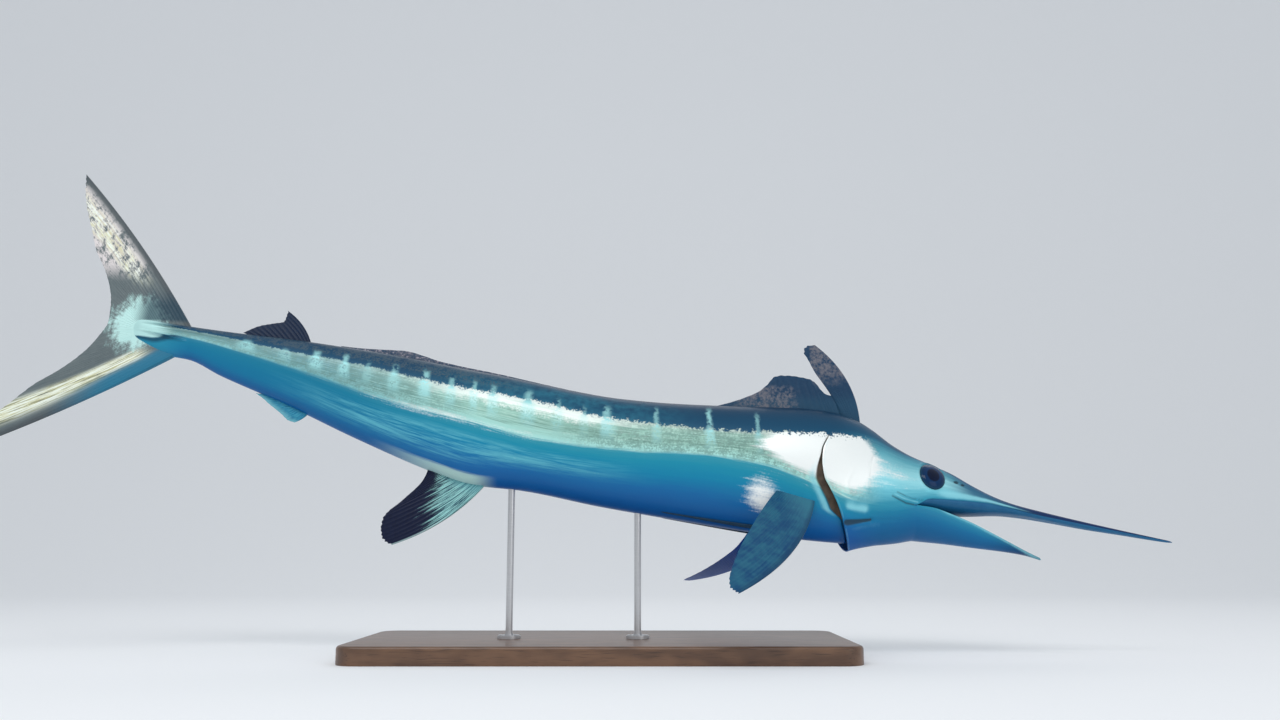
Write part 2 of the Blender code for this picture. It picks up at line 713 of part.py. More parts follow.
def make_stand(wood, steel):
    """A flat plinth with rounded corners and two rods up to the belly."""
    bm = bmesh.new()
    bmesh.ops.create_cube(bm, size=1.0)
    bmesh.ops.scale(bm, vec=(BASE_LENGTH, BASE_WIDTH, BASE_HEIGHT), verts=bm.verts)
    bmesh.ops.translate(bm, vec=(0.0, 0.0, BASE_HEIGHT / 2), verts=bm.verts)
    corners = [edge for edge in bm.edges if abs(edge.verts[0].co.z - edge.verts[1].co.z) > 0.001]
    bmesh.ops.bevel(bm, geom=corners, offset=BASE_CORNER, segments=6, profile=0.5, affect="EDGES")
    rim = [
        edge
        for edge in bm.edges
        if all(vert.co.z > BASE_HEIGHT - 0.0001 for vert in edge.verts)
    ]
    bmesh.ops.bevel(bm, geom=rim, offset=BASE_RIM, segments=3, profile=0.5, affect="EDGES")
    base = add_object("stand_base", close_mesh(bm, "stand_base"), wood)
    finish_object(base, 30.0, banked=False)

    foot = BASE_HEIGHT + GAP
    profile = (
        (ROD_FLANGE_RADIUS, foot),
        (ROD_FLANGE_RADIUS, foot + ROD_FLANGE_HEIGHT * 0.7),
        (ROD_FLANGE_RADIUS * 0.9, foot + ROD_FLANGE_HEIGHT),
        (ROD_RADIUS * 1.5, foot + ROD_FLANGE_HEIGHT),
        (ROD_RADIUS, foot + ROD_FLANGE_HEIGHT * 1.6),
        (ROD_RADIUS, ROD_TOP),
    )
    for name, x in ROD_PLACES.items():
        rings = []
        for radius, height in profile:
            ring = []
            for step in range(ROD_SEGMENTS):
                around = 2.0 * math.pi * step / ROD_SEGMENTS
                y = ROD_LINE + radius * math.sin(around)
                ring.append(Vector((x + radius * math.cos(around), y, height)))
            rings.append(ring)
        rod = add_object(name, loft(name, rings), steel)
        cutter = trunk_cutter()
        for vert in cutter.data.vertices:
            vert.co = bank(vert.co)
        combine(rod, [cutter], "DIFFERENCE")
        finish_object(rod, 30.0, banked=False)


def main():
    for thing in list(bpy.data.objects):
        bpy.data.objects.remove(thing)
    skin = material("marlin_skin", (0.22, 0.40, 0.48), 0.30)
    fin_skin = material("fin_skin", (0.05, 0.08, 0.13), 0.40)
    glass = material("eye_glass", (0.01, 0.02, 0.05), 0.05)
    wood = material("plinth_wood", (0.13, 0.06, 0.03), 0.35)
    steel = material("rod_steel", (0.62, 0.62, 0.63), 0.30, 1.0)
    make_trunk(skin)
    make_head(skin)
    make_lower_jaw(skin)
    make_covers(skin)
    make_eyes(glass)
    make_median_fins(fin_skin)
    make_caudal_fin(fin_skin)
    make_pectoral_fins(fin_skin)
    make_pelvic_fins(fin_skin)
    make_stand(wood, steel)


main()
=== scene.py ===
import math

import bpy
import numpy as np
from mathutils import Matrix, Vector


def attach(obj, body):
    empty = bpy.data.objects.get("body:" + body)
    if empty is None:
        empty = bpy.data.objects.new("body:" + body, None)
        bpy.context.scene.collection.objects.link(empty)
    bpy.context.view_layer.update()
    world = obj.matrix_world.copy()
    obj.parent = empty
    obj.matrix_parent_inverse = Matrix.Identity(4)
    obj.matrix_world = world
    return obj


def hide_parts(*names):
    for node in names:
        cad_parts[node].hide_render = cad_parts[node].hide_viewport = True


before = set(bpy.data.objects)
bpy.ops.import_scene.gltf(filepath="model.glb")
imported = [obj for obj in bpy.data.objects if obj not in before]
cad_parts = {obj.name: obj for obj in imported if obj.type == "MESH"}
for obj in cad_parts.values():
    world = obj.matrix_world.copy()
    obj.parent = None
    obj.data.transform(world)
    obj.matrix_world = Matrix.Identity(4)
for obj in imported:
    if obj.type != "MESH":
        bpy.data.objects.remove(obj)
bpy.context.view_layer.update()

# The skin: one closed hide over trunk, head, gill covers, bill and lower jaw. A mounted fish
# is a cast shell, painted and varnished, so it runs without a seam from the tail root to the
# bill's tip, and folds in under the rear edge of each gill cover and into the mouth.
BANK = math.radians(14.0)
MOUTH_CORNER = 0.535
SIDE = 104
EYE = (0.574, 0.299)
EYE_RADIUS = 0.0232
EYE_TALL = 1.14
EYE_RIM = 0.0011
NOSTRIL_RIM = 0.0005
PIT = 0.0024
# Each nostril: its place, and how long and tall it is
NOSTRILS = ((0.6165, 0.29, 0.0042, 0.003), (0.628, 0.2855, 0.0029, 0.0026))


def through(*knots):
    """A smooth line through (place, value) knots that never swings past them."""
    at, value = np.array(knots, float).T
    rise = np.diff(value) / np.diff(at)
    both = rise[:-1] * rise[1:]
    slope = np.where(both > 0.0, 2.0 * both / np.where(both > 0.0, rise[:-1] + rise[1:], 1.0), 0.0)
    slope = np.concatenate(([rise[0]], slope, [rise[-1]]))

    def line(place):
        place = np.clip(place, at[0], at[-1])
        i = np.clip(np.searchsorted(at, place, side="right") - 1, 0, len(at) - 2)
        width = at[i + 1] - at[i]
        t = (place - at[i]) / width
        ease = t * t * (3.0 - 2.0 * t)
        bend = t * (1.0 - t) ** 2 * slope[i] + t * t * (t - 1.0) * slope[i + 1]
        return value[i] * (1.0 - ease) + value[i + 1] * ease + width * bend

    return line


# The body as seen from the side, by place along it: heights of the back, the belly, the widest
# line and the spine. With them goes half the body's width.
back = through(
    (-0.838, 0.597), (-0.78, 0.584), (-0.73, 0.576), (-0.66, 0.567), (-0.56, 0.556), (-0.48, 0.545),
    (-0.36, 0.526), (-0.26, 0.506), (-0.19, 0.493), (-0.117, 0.477), (-0.044, 0.461), (0.03, 0.449),
    (0.136, 0.44), (0.24, 0.436), (0.353, 0.433), (0.41, 0.426), (0.45, 0.412), (0.478, 0.394),
    (0.512, 0.366), (0.546, 0.345), (0.581, 0.329), (0.615, 0.313), (0.648, 0.292), (0.682, 0.273),
    (0.716, 0.259), (0.768, 0.245), (0.853, 0.2245), (0.957, 0.2015), (0.995, 0.1935),
)
belly = through(
    (-0.838, 0.543), (-0.779, 0.521), (-0.743, 0.514), (-0.686, 0.485), (-0.576, 0.437),
    (-0.429, 0.367), (-0.286, 0.306), (-0.23, 0.288), (-0.145, 0.279), (-0.006, 0.251),
    (0.133, 0.227), (0.272, 0.204), (0.35, 0.193), (0.42, 0.187), (0.462, 0.184), (0.5, 0.187),
    (0.535, 0.193),
)
widest = through(
    (-0.838, 0.571), (-0.76, 0.549), (-0.7, 0.533), (-0.6, 0.506), (-0.5, 0.478), (-0.4, 0.449),
    (-0.3, 0.418), (-0.2, 0.394), (-0.1, 0.378), (0.0, 0.358), (0.1, 0.343), (0.2, 0.332),
    (0.3, 0.324), (0.4, 0.312), (0.462, 0.295), (0.5, 0.272), (0.535, 0.25), (0.57, 0.2575),
    (0.61, 0.258), (0.66, 0.256), (0.7, 0.2495), (0.75, 0.2385), (0.8, 0.2285), (0.9, 0.209),
    (0.995, 0.1922),
)
half_width = through(
    (-0.838, 0.007), (-0.8, 0.012), (-0.76, 0.0165), (-0.7, 0.0205), (-0.5, 0.034), (-0.2, 0.05),
    (0.1, 0.06), (0.3, 0.064), (0.4, 0.062), (0.462, 0.058), (0.5, 0.0535), (0.535, 0.048),
    (0.576, 0.04), (0.62, 0.0315), (0.66, 0.025), (0.7, 0.019), (0.75, 0.0138), (0.8, 0.011),
    (0.9, 0.0075), (0.98, 0.0035), (0.995, 0.0014),
)
spine = through(
    (-1.15, 0.62), (-0.84, 0.567), (-0.7, 0.532), (-0.58, 0.495), (-0.42, 0.447), (-0.31, 0.415),
    (-0.2, 0.3885), (-0.08, 0.367), (0.1, 0.3365), (0.28, 0.32), (0.42, 0.304), (0.5, 0.285),
    (0.6, 0.265), (0.8, 0.232), (0.995, 0.192),
)
# Edges of the paint, as heights on the flank: the dark back, and the foot of the silver band
dark_edge = through(
    (-0.87, 0.592), (-0.76, 0.569), (-0.691, 0.555), (-0.58, 0.528), (-0.435, 0.499),
    (-0.291, 0.463), (-0.148, 0.435), (-0.006, 0.399), (0.134, 0.38), (0.274, 0.369),
    (0.393, 0.367), (0.43, 0.366), (0.47, 0.362), (0.519, 0.343), (0.56, 0.331), (0.6, 0.313),
    (0.65, 0.282), (0.7, 0.258), (0.77, 0.24), (0.995, 0.1915),
)
band_foot = through(
    (-0.87, 0.566), (-0.76, 0.551), (-0.64, 0.516), (-0.536, 0.48), (-0.391, 0.427),
    (-0.249, 0.387), (-0.109, 0.348), (0.03, 0.331), (0.167, 0.322), (0.281, 0.302), (0.37, 0.266),
    (0.43, 0.241), (0.48, 0.237), (0.54, 0.245), (0.6, 0.256), (0.7, 0.248), (0.77, 0.236),
    (0.995, 0.1905),
)
# The number of each pale bar, by its place
bar_count = through(
    (-0.72, -1.0), (-0.639, 0.0), (-0.568, 1.0), (-0.512, 2.0), (-0.46, 3.0), (-0.419, 4.0),
    (-0.371, 5.0), (-0.315, 6.0), (-0.269, 7.0), (-0.228, 8.0), (-0.195, 9.0), (-0.131, 10.0),
    (-0.08, 11.0), (-0.033, 12.0), (0.005, 13.0), (0.093, 14.0), (0.186, 15.0), (0.27, 16.0),
    (0.4, 17.4),
)


def points_of(x, y, z):
    """Points from their three coordinates, each an array or one number for all."""
    return np.stack(np.broadcast_arrays(x, y, z), -1)


def section(x, turn, side, low, grow=0.0):
    """Points of the section at x: turn runs from the back down one side, low is its foot."""
    middle = widest(x)
    reach = np.where(turn <= math.pi / 2.0, back(x) - middle, middle - low) + grow
    return points_of(x, side * (half_width(x) + grow) * np.sin(turn), middle + reach * np.cos(turn))


def banked(points):
    """The points turned about the spine at their own stations, right flank up."""
    height = points[..., 2] - spine(points[..., 0])
    across = points[..., 1] * math.cos(BANK) + height * math.sin(BANK)
    rise = height * math.cos(BANK) - points[..., 1] * math.sin(BANK)
    return points_of(points[..., 0], across, spine(points[..., 0]) + rise)


def eased(value, start, end):
    """0 before start, 1 after end, and smooth between them."""
    t = np.clip((value - start) / (end - start), 0.0, 1.0)
    return t * t * (3.0 - 2.0 * t)


def reach_of(x, z, *corners):
    """Distance in the flank's plane from points to a bent line."""
    least = np.full(np.broadcast(x, z).shape, 9.0)
    for (ax, az), (bx, bz) in zip(corners, corners[1:]):
        length = (bx - ax) ** 2 + (bz - az) ** 2
        t = np.clip(((x - ax) * (bx - ax) + (z - az) * (bz - az)) / length, 0.0, 1.0)
        least = np.minimum(least, np.hypot(x - ax - t * (bx - ax), z - az - t * (bz - az)))
    return least


def hump(distance, width):
    """1 at no distance, falling away smoothly over the width."""
    return np.exp(-((distance / width) ** 2))


def added(primitive, **sizes):
    """A new primitive, alone in the selection, with its place applied to its mesh."""
    bpy.ops.object.select_all(action="DESELECT")
    primitive(**sizes)
    bpy.ops.object.transform_apply(location=True, rotation=True, scale=True)
    return bpy.context.object


def mode(name):
    bpy.ops.object.mode_set(mode=name)


def smoothed(degrees):
    bpy.ops.object.shade_smooth_by_angle(angle=math.radians(degrees))


def surface(name, points, **marks):
    """A grid laid over rows of upright points, then banked; marks are kept at its vertices."""
    rows, columns = points.shape[:2]
    piece = added(
        bpy.ops.mesh.primitive_grid_add, x_subdivisions=columns - 1, y_subdivisions=rows - 1, size=1.0,
    )
    piece.name = piece.data.name = name
    piece.data.vertices.foreach_set("co", banked(points).astype(np.float32).ravel())
    marks["upright"] = points
    for mark, value in marks.items():
        kind, field = "FLOAT_VECTOR", "vector"
        if np.shape(value) != points.shape:
            kind, field = "FLOAT", "value"
            value = np.broadcast_to(value, points.shape[:2])
        made = piece.data.attributes.new(mark, kind, "POINT")
        made.data.foreach_set(field, value.astype(np.float32).ravel())
    return piece


def joined(first, *others):
    """The others become part of the first, which stays selected."""
    bpy.ops.object.select_all(action="DESELECT")
    for piece in (first, *others):
        piece.select_set(True)
    bpy.context.view_layer.objects.active = first
    if others:
        bpy.ops.object.join()


def closed(pieces, merge=0.00003, sharp=50.0):
    """Join grids that share their borders into one closed, smooth piece."""
    joined(*pieces)
    mode("EDIT")
    bpy.ops.mesh.select_all(action="SELECT")
    bpy.ops.mesh.remove_doubles(threshold=merge)
    bpy.ops.mesh.normals_make_consistent(inside=False)
    mode("OBJECT")
    smoothed(sharp)
    return pieces[0]


def reliefs(x, z):
    """How far the skin stands out at each place of the head, for its rims, grooves and pits."""
    from_eye = np.hypot(x - EYE[0], (z - EYE[1]) / EYE_TALL)
    out = EYE_RIM * hump(from_eye - EYE_RADIUS - 0.0022, 0.0016)
    out -= PIT * (1.0 - eased(from_eye, EYE_RADIUS - 0.0025, EYE_RADIUS + 0.0004))
    for nx, nz, wide, tall in NOSTRILS:
        inside = np.hypot((x - nx) / wide, (z - nz) / tall)
        out -= PIT * (1.0 - eased(inside, 0.45, 1.05))
        out += NOSTRIL_RIM * hump(inside - 1.35, 0.3)
    for depth, wide, corners in GROOVES:
        out -= depth * hump(reach_of(x, z, *corners), wide)
    return out


# Each groove of the head: its depth, its width, and the corners that it runs through
GROOVES = (
    (0.001, 0.0022, ((0.484, 0.345), (0.47, 0.331), (0.461, 0.312), (0.457, 0.29), (0.452, 0.262))),
    (0.0022, 0.0026, ((0.411, 0.2105), (0.432, 0.213), (0.458, 0.2165))),
    (0.0006, 0.0018, ((0.458, 0.216), (0.505, 0.218))),
    (0.0016, 0.0019, ((0.535, 0.2425), (0.522, 0.244), (0.509, 0.249), (0.496, 0.257))),
    (0.001, 0.0018, ((0.552, 0.251), (0.53, 0.253), (0.512, 0.262), (0.494, 0.265))),
    (0.0004, 0.0026, ((0.59, 0.321), (0.64, 0.287), (0.7, 0.259))),
    (0.0005, 0.0024, ((0.43, 0.3), (0.418, 0.28), (0.42, 0.255), (0.432, 0.24))),
)


# Each line drawn on the head: how dark it is, or how pale as a negative number, its width, its corners
# The dark lines are painted shade in the head's creases and grooves
CREASE_SHADE_AND_PALE = (
    (0.75, 0.0022, ((0.535, 0.2425), (0.519, 0.245), (0.496, 0.257))),
    (0.6, 0.002, ((0.556, 0.2515), (0.53, 0.253), (0.505, 0.264))),
    (0.3, 0.0026, ((0.48, 0.34), (0.466, 0.325), (0.458, 0.29))),
    (-0.18, 0.006, ((0.425, 0.201), (0.445, 0.206), (0.47, 0.211))),
    (-0.45, 0.0105, ((0.42, 0.243), (0.446, 0.237))),
    (-0.55, 0.0048, ((0.418, 0.236), (0.43, 0.234), (0.446, 0.2335))),
    (-0.55, 0.0024, ((0.54, 0.248), (0.515, 0.253), (0.5, 0.26))),
)


def crease_shade_and_pale(x, z):
    """Where the head is painted dark, as painted shade in its creases and nostrils, and pale as less
    than 0.
    """
    strip = reach_of(x, z, (0.402, 0.209), (0.432, 0.213), (0.456, 0.2165))
    out = 1.45 * hump(strip, 0.0046 - 0.0024 * eased(x, 0.41, 0.455)) * eased(x, 0.407, 0.411)
    for much, wide, corners in CREASE_SHADE_AND_PALE:
        out += much * hump(reach_of(x, z, *corners), wide)
    for nx, nz, wide, tall in NOSTRILS:
        out = out + 1.2 * (1.0 - eased(np.hypot((x - nx) / wide, (z - nz) / tall), 0.7, 1.4))
    return out


KEEL_BACK = -0.836
KEEL_LENGTH = 0.082
KEEL_HEIGHT = 0.0062


def keels(x, z):
    """Two low keels on each side of the tail root."""
    t = np.clip((x - KEEL_BACK) / KEEL_LENGTH, 0.0, 1.0)
    proud = KEEL_HEIGHT * np.sin(math.pi * (0.1 + 0.9 * (1.0 - t))) * (x < -0.75)
    out = 0.0
    for lift in (-1.0, 1.0):
        out = out + proud * hump(z - spine(x) - 0.0105 - lift * (0.0085 + 0.0045 * t), 0.0019)
    return out


# Trunk: a cast tube, in rows from the tail root to the mouth's corner. The gill covers stand out
# from it with free rear edges, and behind each the skin folds in to line the gill chamber.
COVER_FRONT = 0.475
COVER_REST = 0.0012
COVER_FLARE = 0.0125
COVER_THICKNESS = 0.0022
TAIL_ROOT = -0.838
ROOT_FRONT = -0.74
SHOULDER = 0.32
NO_BARS = 17.5
# By degrees down from the back: where the cover ends, and how far open it stands
cover_rear = through(
    (60.0, 0.398), (70.0, 0.388), (80.0, 0.38), (93.0, 0.377), (103.0, 0.379), (112.0, 0.388),
    (122.0, 0.398), (132.0, 0.405), (145.0, 0.411), (156.0, 0.415), (178.0, 0.421),
)
cover_spread = through((60.0, 0.0), (90.0, 0.12), (120.0, 0.55), (150.0, 0.9), (178.0, 1.0))
turns = np.linspace(0.0, math.pi, SIDE + 1)
degrees = np.degrees(turns)
rear = cover_rear(degrees)
spread = cover_spread(degrees)
# How far the rear edge stands out, and how deep the chamber runs in under it
edge = COVER_REST + COVER_FLARE * spread
depth = 0.003 + 0.03 * spread ** 0.7
open_fold = eased(degrees, 58.0, 72.0)
# Halfway down, the chamber shows as a wedge between the cover and the pale edge of the shoulder
wedge = eased(degrees, 80.0, 112.0) * (1.0 - eased(degrees, 129.0, 141.0))
gap = 0.003 + 0.0165 * wedge
deepest = 0.0034 + 0.0026 * wedge


def cover_grow(x):
    """How far the cover stands out from the trunk at x, for each column."""
    u = np.clip((COVER_FRONT - x) / (COVER_FRONT - rear), 0.0, 1.0)
    return u ** 1.6 * edge * open_fold


def column(value):
    return np.zeros(SIDE + 1) + value


def bare_rows(*places):
    """Rows of bare trunk: each has its place, how far it stands out, and its painted shade."""
    return [(column(x), column(0.0), column(0.0)) for x in np.linspace(*places)]


rows = bare_rows(TAIL_ROOT, ROOT_FRONT, 23) + bare_rows(ROOT_FRONT, SHOULDER, 107)[1:]
for t in (0.14, 0.28, 0.42, 0.55, 0.66, 0.76, 0.84, 0.9, 0.94, 0.97, 1.0):
    shoulder = 0.0011 * hump((1.0 - t) * 0.06, 0.006) * wedge
    rows.append((SHOULDER + (rear - gap - SHOULDER) * t, shoulder, column(0.0)))
# Each row of the fold has a place in the gap or under the cover, a height and its painted shade
inner = rear + 0.0008
fold = [
    (rear - gap * 0.93, 0.0006 * wedge - 0.0002, 0.1), (rear - gap * 0.84, -0.25 * deepest, 0.45),
    (rear - gap * 0.72, -0.66 * deepest, 0.85), (rear - gap * 0.55, -deepest, 1.0),
    (rear - gap * 0.25, -deepest, 1.0), (inner, -deepest, 1.0),
]
fold += [(inner + depth * t, -deepest, 1.0) for t in (0.2, 0.45, 0.7, 0.9)]
for t in (1.0, 0.9, 0.7, 0.45, 0.25, 0.12, 0.05):
    x = inner + depth * t
    under = np.maximum(cover_grow(x) - COVER_THICKNESS, 0.0007 - deepest)
    fold.append((x, (under - deepest) / 2.0 if t == 1.0 else under, 1.0))
# Then the cover's round edge, from its inside to its outside
for turn in np.linspace(-80.0, 80.0, 7):
    lean = math.radians(turn)
    lip = edge - COVER_THICKNESS / 2.0 * (1.0 - math.sin(lean))
    fold.append((inner - 0.0011 * math.cos(lean), lip, max(0.0, -turn / 80.0)))
for k, (x, grow, dark) in enumerate(fold):
    # Above the slit the fold closes, and its rows lie side by side on plain skin
    plain = rear - gap + (gap + 0.001) * (k + 1) / len(fold)
    shade = open_fold * (1.0 - 0.72 * eased(degrees, 134.0, 146.0))
    rows.append((plain + (x - plain) * open_fold, grow * open_fold, dark * shade))
for t in np.linspace(0.0, 1.0, 47)[1:]:
    x = rear + 0.001 + (COVER_FRONT - rear - 0.001) * t
    rows.append((x, cover_grow(x), column(0.0)))
rows += bare_rows(COVER_FRONT, MOUTH_CORNER, 33)[1:]
trunk_x, trunk_grow, trunk_shade = (np.array(part) for part in zip(*rows))


def both_sides(left):
    """Columns of one side, from the back down, followed by their mirror image up again."""
    right = left[:, ::-1].copy()
    if left.ndim == 3:
        right[..., 1] *= -1.0
    return np.concatenate((left, right[:, 1:]), axis=1)


def tone(x, z):
    """The paint's place on the flank: 0 belly, 1 foot of the band, 2 dark edge, 3 back."""
    foot, dark, low = band_foot(x), dark_edge(x), belly(x)
    below = np.clip((z - low) / np.maximum(foot - low, 0.001), 0.0, 1.0)
    band = np.clip((z - foot) / (dark - foot), 0.0, 1.0)
    above = np.clip((z - dark) / np.maximum(back(x) - dark, 0.001), 0.0, 1.0)
    return below + band + above


def painted_glare(x, paint):
    """Painted glare: patches of the flank painted near white, a painted highlight on the silver."""
    out = 0.0
    # Each patch: its place, its level in the paint, its reach along and across, and its strength
    for px, pt, wide, tall, much in (
        (0.346, 1.66, 0.064, 0.4, 1.3), (0.42, 1.66, 0.044, 0.4, 1.5),
        (0.273, 0.52, 0.036, 0.34, 0.54), (0.05, 1.62, 0.2, 0.3, 0.12),
        (-0.22, 1.1, 0.26, 0.14, 0.34), (0.5, 1.5, 0.05, 0.35, 0.26),
    ):
        away = ((x - px) / wide) ** 2 + ((paint - pt) / tall) ** 2
        out = out + much * np.exp(-(away ** 1.15))
    return np.clip(out, 0.0, 1.0)


def hide_part(name, points, level, **marks):
    """A grid of the skin, with its paint's level and every other mark that the paint reads."""
    bare = {"dark": 0.0, "shine": 0.0, "bars": NO_BARS, "mouth": 0.0, "lines": 0.0}
    return surface(name, points, tone=level, **{**bare, **marks})


base = section(trunk_x, turns, 1.0, belly(trunk_x), trunk_grow)
shown = trunk_shade < 0.2
outer = (base[..., 0] > 0.3) & shown
raised = np.where(outer, reliefs(base[..., 0], base[..., 2]), 0.0)
lines = np.where(outer, crease_shade_and_pale(base[..., 0], base[..., 2]), 0.0)
# The shoulder's edge is pale, partly painted highlight, where the chamber shows; so is the cover's own
# edge
lines -= 0.75 * wedge * hump(trunk_x - (rear - gap - 0.004), 0.0075) * shown * (trunk_x < rear)
lines -= 0.35 * open_fold * hump(trunk_x - rear - 0.002, 0.002) * shown
base = section(trunk_x, turns, 1.0, belly(trunk_x), trunk_grow + raised)
base[..., 1] += keels(base[..., 0], base[..., 2])
# The tail root thins until it lies inside the caudal fin
ROOT_LENGTH = 0.022
root = []
for t, thin in ((1.0, 0.0), (1.0, 0.22), (0.75, 0.44), (0.5, 0.64), (0.25, 0.84)):
    ring = base[0].copy()
    centre = ring[:, 2].mean()
    ring[:, 0] -= ROOT_LENGTH * t
    ring[:, 1] *= thin
    ring[:, 2] = centre + 0.0045 * t + (ring[:, 2] - centre) * (1.0 - 0.12 * t ** 2)
    root.append(ring)
base = np.concatenate((np.array(root), base), axis=0)
extra = np.zeros((len(root), SIDE + 1))
trunk_shade = np.concatenate((extra, trunk_shade), axis=0)
lines = np.concatenate((extra, lines), axis=0)
paint = tone(base[..., 0], base[..., 2])
trunk = hide_part(
    "marlin_skin", both_sides(base), both_sides(paint), dark=both_sides(trunk_shade),
    shine=both_sides(painted_glare(base[..., 0], paint)), bars=bar_count(both_sides(base)[..., 0]),
    lines=both_sides(lines),
)
corner_ring = base[-1]

# Upper jaw and bill: the trunk's last row, drawn out to a slim round spear. The lip runs along one
# column of the grid, and the roof of the mouth lies under it.
LIP = 56
BILL_ROUNDS = 0.985
BILL_END = 0.01
palate = through(
    (0.535, 0.24), (0.58, 0.236), (0.64, 0.2345), (0.69, 0.2358), (0.73, 0.2325), (0.766, 0.227),
    (0.801, 0.221), (0.836, 0.215), (0.905, 0.2045), (0.98, 0.1925), (0.995, 0.1908),
)
bill_x = np.concatenate((
    np.linspace(MOUTH_CORNER, 0.66, 52), np.linspace(0.66, BILL_ROUNDS, 54)[1:],
    BILL_ROUNDS + BILL_END * np.sin(np.radians(np.linspace(0.0, 90.0, 9)[1:])),
))[:, None]
lip_turn = math.pi / 2.0 + math.radians(7.5) * (1.0 - eased(bill_x, MOUTH_CORNER, 0.562))
columns = np.arange(SIDE + 1)[None, :]
upper = np.clip(columns / LIP, 0.0, 1.0) * lip_turn
jaw_turns = np.where(
    columns <= LIP, upper, lip_turn + (math.pi - lip_turn) * (columns - LIP) / (SIDE - LIP)
)
upper_jaw = section(bill_x, jaw_turns, 1.0, palate(bill_x))
# The lip is a low roll between two shallow grooves
lips = 0.0009 * hump(columns - LIP - 0.5, 1.3) - 0.0006 * hump(columns - LIP - 4.5, 1.6)
lips = lips - 0.0004 * hump(columns - LIP + 4.0, 1.8)
lips = lips * eased(bill_x, MOUTH_CORNER, 0.56) * (1.0 - eased(bill_x, 0.72, 0.84))
outer = np.where(columns < LIP - 1, reliefs(upper_jaw[..., 0], upper_jaw[..., 2]), 0.0)
upper_jaw = section(bill_x, jaw_turns, 1.0, palate(bill_x), lips + outer)
# Down the middle of the roof a shallow trough, past the lips
trough = 0.003 * hump(columns - SIDE, 22.0)
trough = trough * eased(bill_x, 0.55, 0.62) * (1.0 - eased(bill_x, 0.74, 0.86))
upper_jaw[..., 2] += trough * (columns > LIP + 6)
# The bill's end is rounded off towards its axis
axis = points_of(bill_x, 0.0, widest(bill_x))
share = np.sqrt(np.clip(1.0 - ((bill_x - BILL_ROUNDS) / BILL_END) ** 2, 0.0, 1.0))
share = np.where(bill_x > BILL_ROUNDS, share, 1.0)[..., None]
upper_jaw = axis + (upper_jaw - axis) * share
# Its first row is the trunk's last one, and the difference fades along the jaw
inward = np.clip(1.0 - (columns - LIP) / 18.0, 0.0, 1.0)[..., None] ** 2
shift = np.where(
    (columns <= LIP)[..., None], corner_ring - upper_jaw[0:1],
    (corner_ring[LIP] - upper_jaw[0, LIP]) * inward,
)
upper_jaw = upper_jaw + shift * (1.0 - eased(bill_x, MOUTH_CORNER, 0.56))[..., None]
jaw_paint = np.where(columns <= LIP + 1, tone(upper_jaw[..., 0], upper_jaw[..., 2]), 1.0)
roof = eased(np.broadcast_to(columns, jaw_paint.shape), LIP + 1, LIP + 4)
# Along the lip a pale line: the lip's own colour with a painted highlight on it
lip_pale_and_highlight = hump(columns - LIP + 4.5, 5.0) * eased(bill_x, 0.56, 0.6) * (1.0 - eased(bill_x, 0.69, 0.77))
jaw_shade_and_pale_lines = np.where(columns < LIP - 1, crease_shade_and_pale(upper_jaw[..., 0], upper_jaw[..., 2]), 0.0)
jaw_shade_and_pale_lines = jaw_shade_and_pale_lines - 0.9 * lip_pale_and_highlight
bill = hide_part(
    "bill", both_sides(upper_jaw), both_sides(jaw_paint),
    shine=both_sides(painted_glare(upper_jaw[..., 0], jaw_paint) * (1.0 - roof)), mouth=both_sides(roof),
    lines=both_sides(jaw_shade_and_pale_lines),
)

# Lower jaw: a pointed trough with a round rim, cast in one with the cheeks. Outside, rim and inside
# lie side by side in one grid, whose first row is the foot of the trunk's last one.
CHIN = (0.757, 0.0, 0.1595)
jaw_rim = through(
    (0.535, 0.2425), (0.565, 0.24), (0.6, 0.23), (0.632, 0.2185), (0.666, 0.203), (0.7, 0.1865),
    (0.734, 0.17), (0.757, 0.1605),
)
jaw_belly = through(
    (0.535, 0.193), (0.589, 0.1875), (0.641, 0.1805), (0.693, 0.174), (0.728, 0.168),
    (0.757, 0.1585),
)
jaw_width = through(
    (0.535, 0.0475), (0.575, 0.04), (0.62, 0.0305), (0.67, 0.0205), (0.715, 0.0115),
    (0.745, 0.0045), (0.757, 0.0014),
)
jaw_x = np.concatenate((np.linspace(MOUTH_CORNER, 0.735, 66), np.linspace(0.735, CHIN[0], 9)[1:]))
jaw_x = jaw_x[:, None]
down = np.arange(SIDE - LIP + 1)[None, :]
lean = math.pi / 2.0 * (1.0 - down / (SIDE - LIP))
rim_z, foot_z, wide = jaw_rim(jaw_x), jaw_belly(jaw_x), jaw_width(jaw_x)
# Outside, the rim swells a little along its edge
swell = 0.0008 * hump(down - 1.0, 1.6) * eased(jaw_x, 0.54, 0.57)
outside = points_of(jaw_x, (wide + swell) * np.sin(lean), rim_z - (rim_z - foot_z) * np.cos(lean))
shift = corner_ring[None, LIP:] - outside[0:1]
outside = outside + shift * (1.0 - eased(jaw_x, MOUTH_CORNER, 0.565))[..., None]
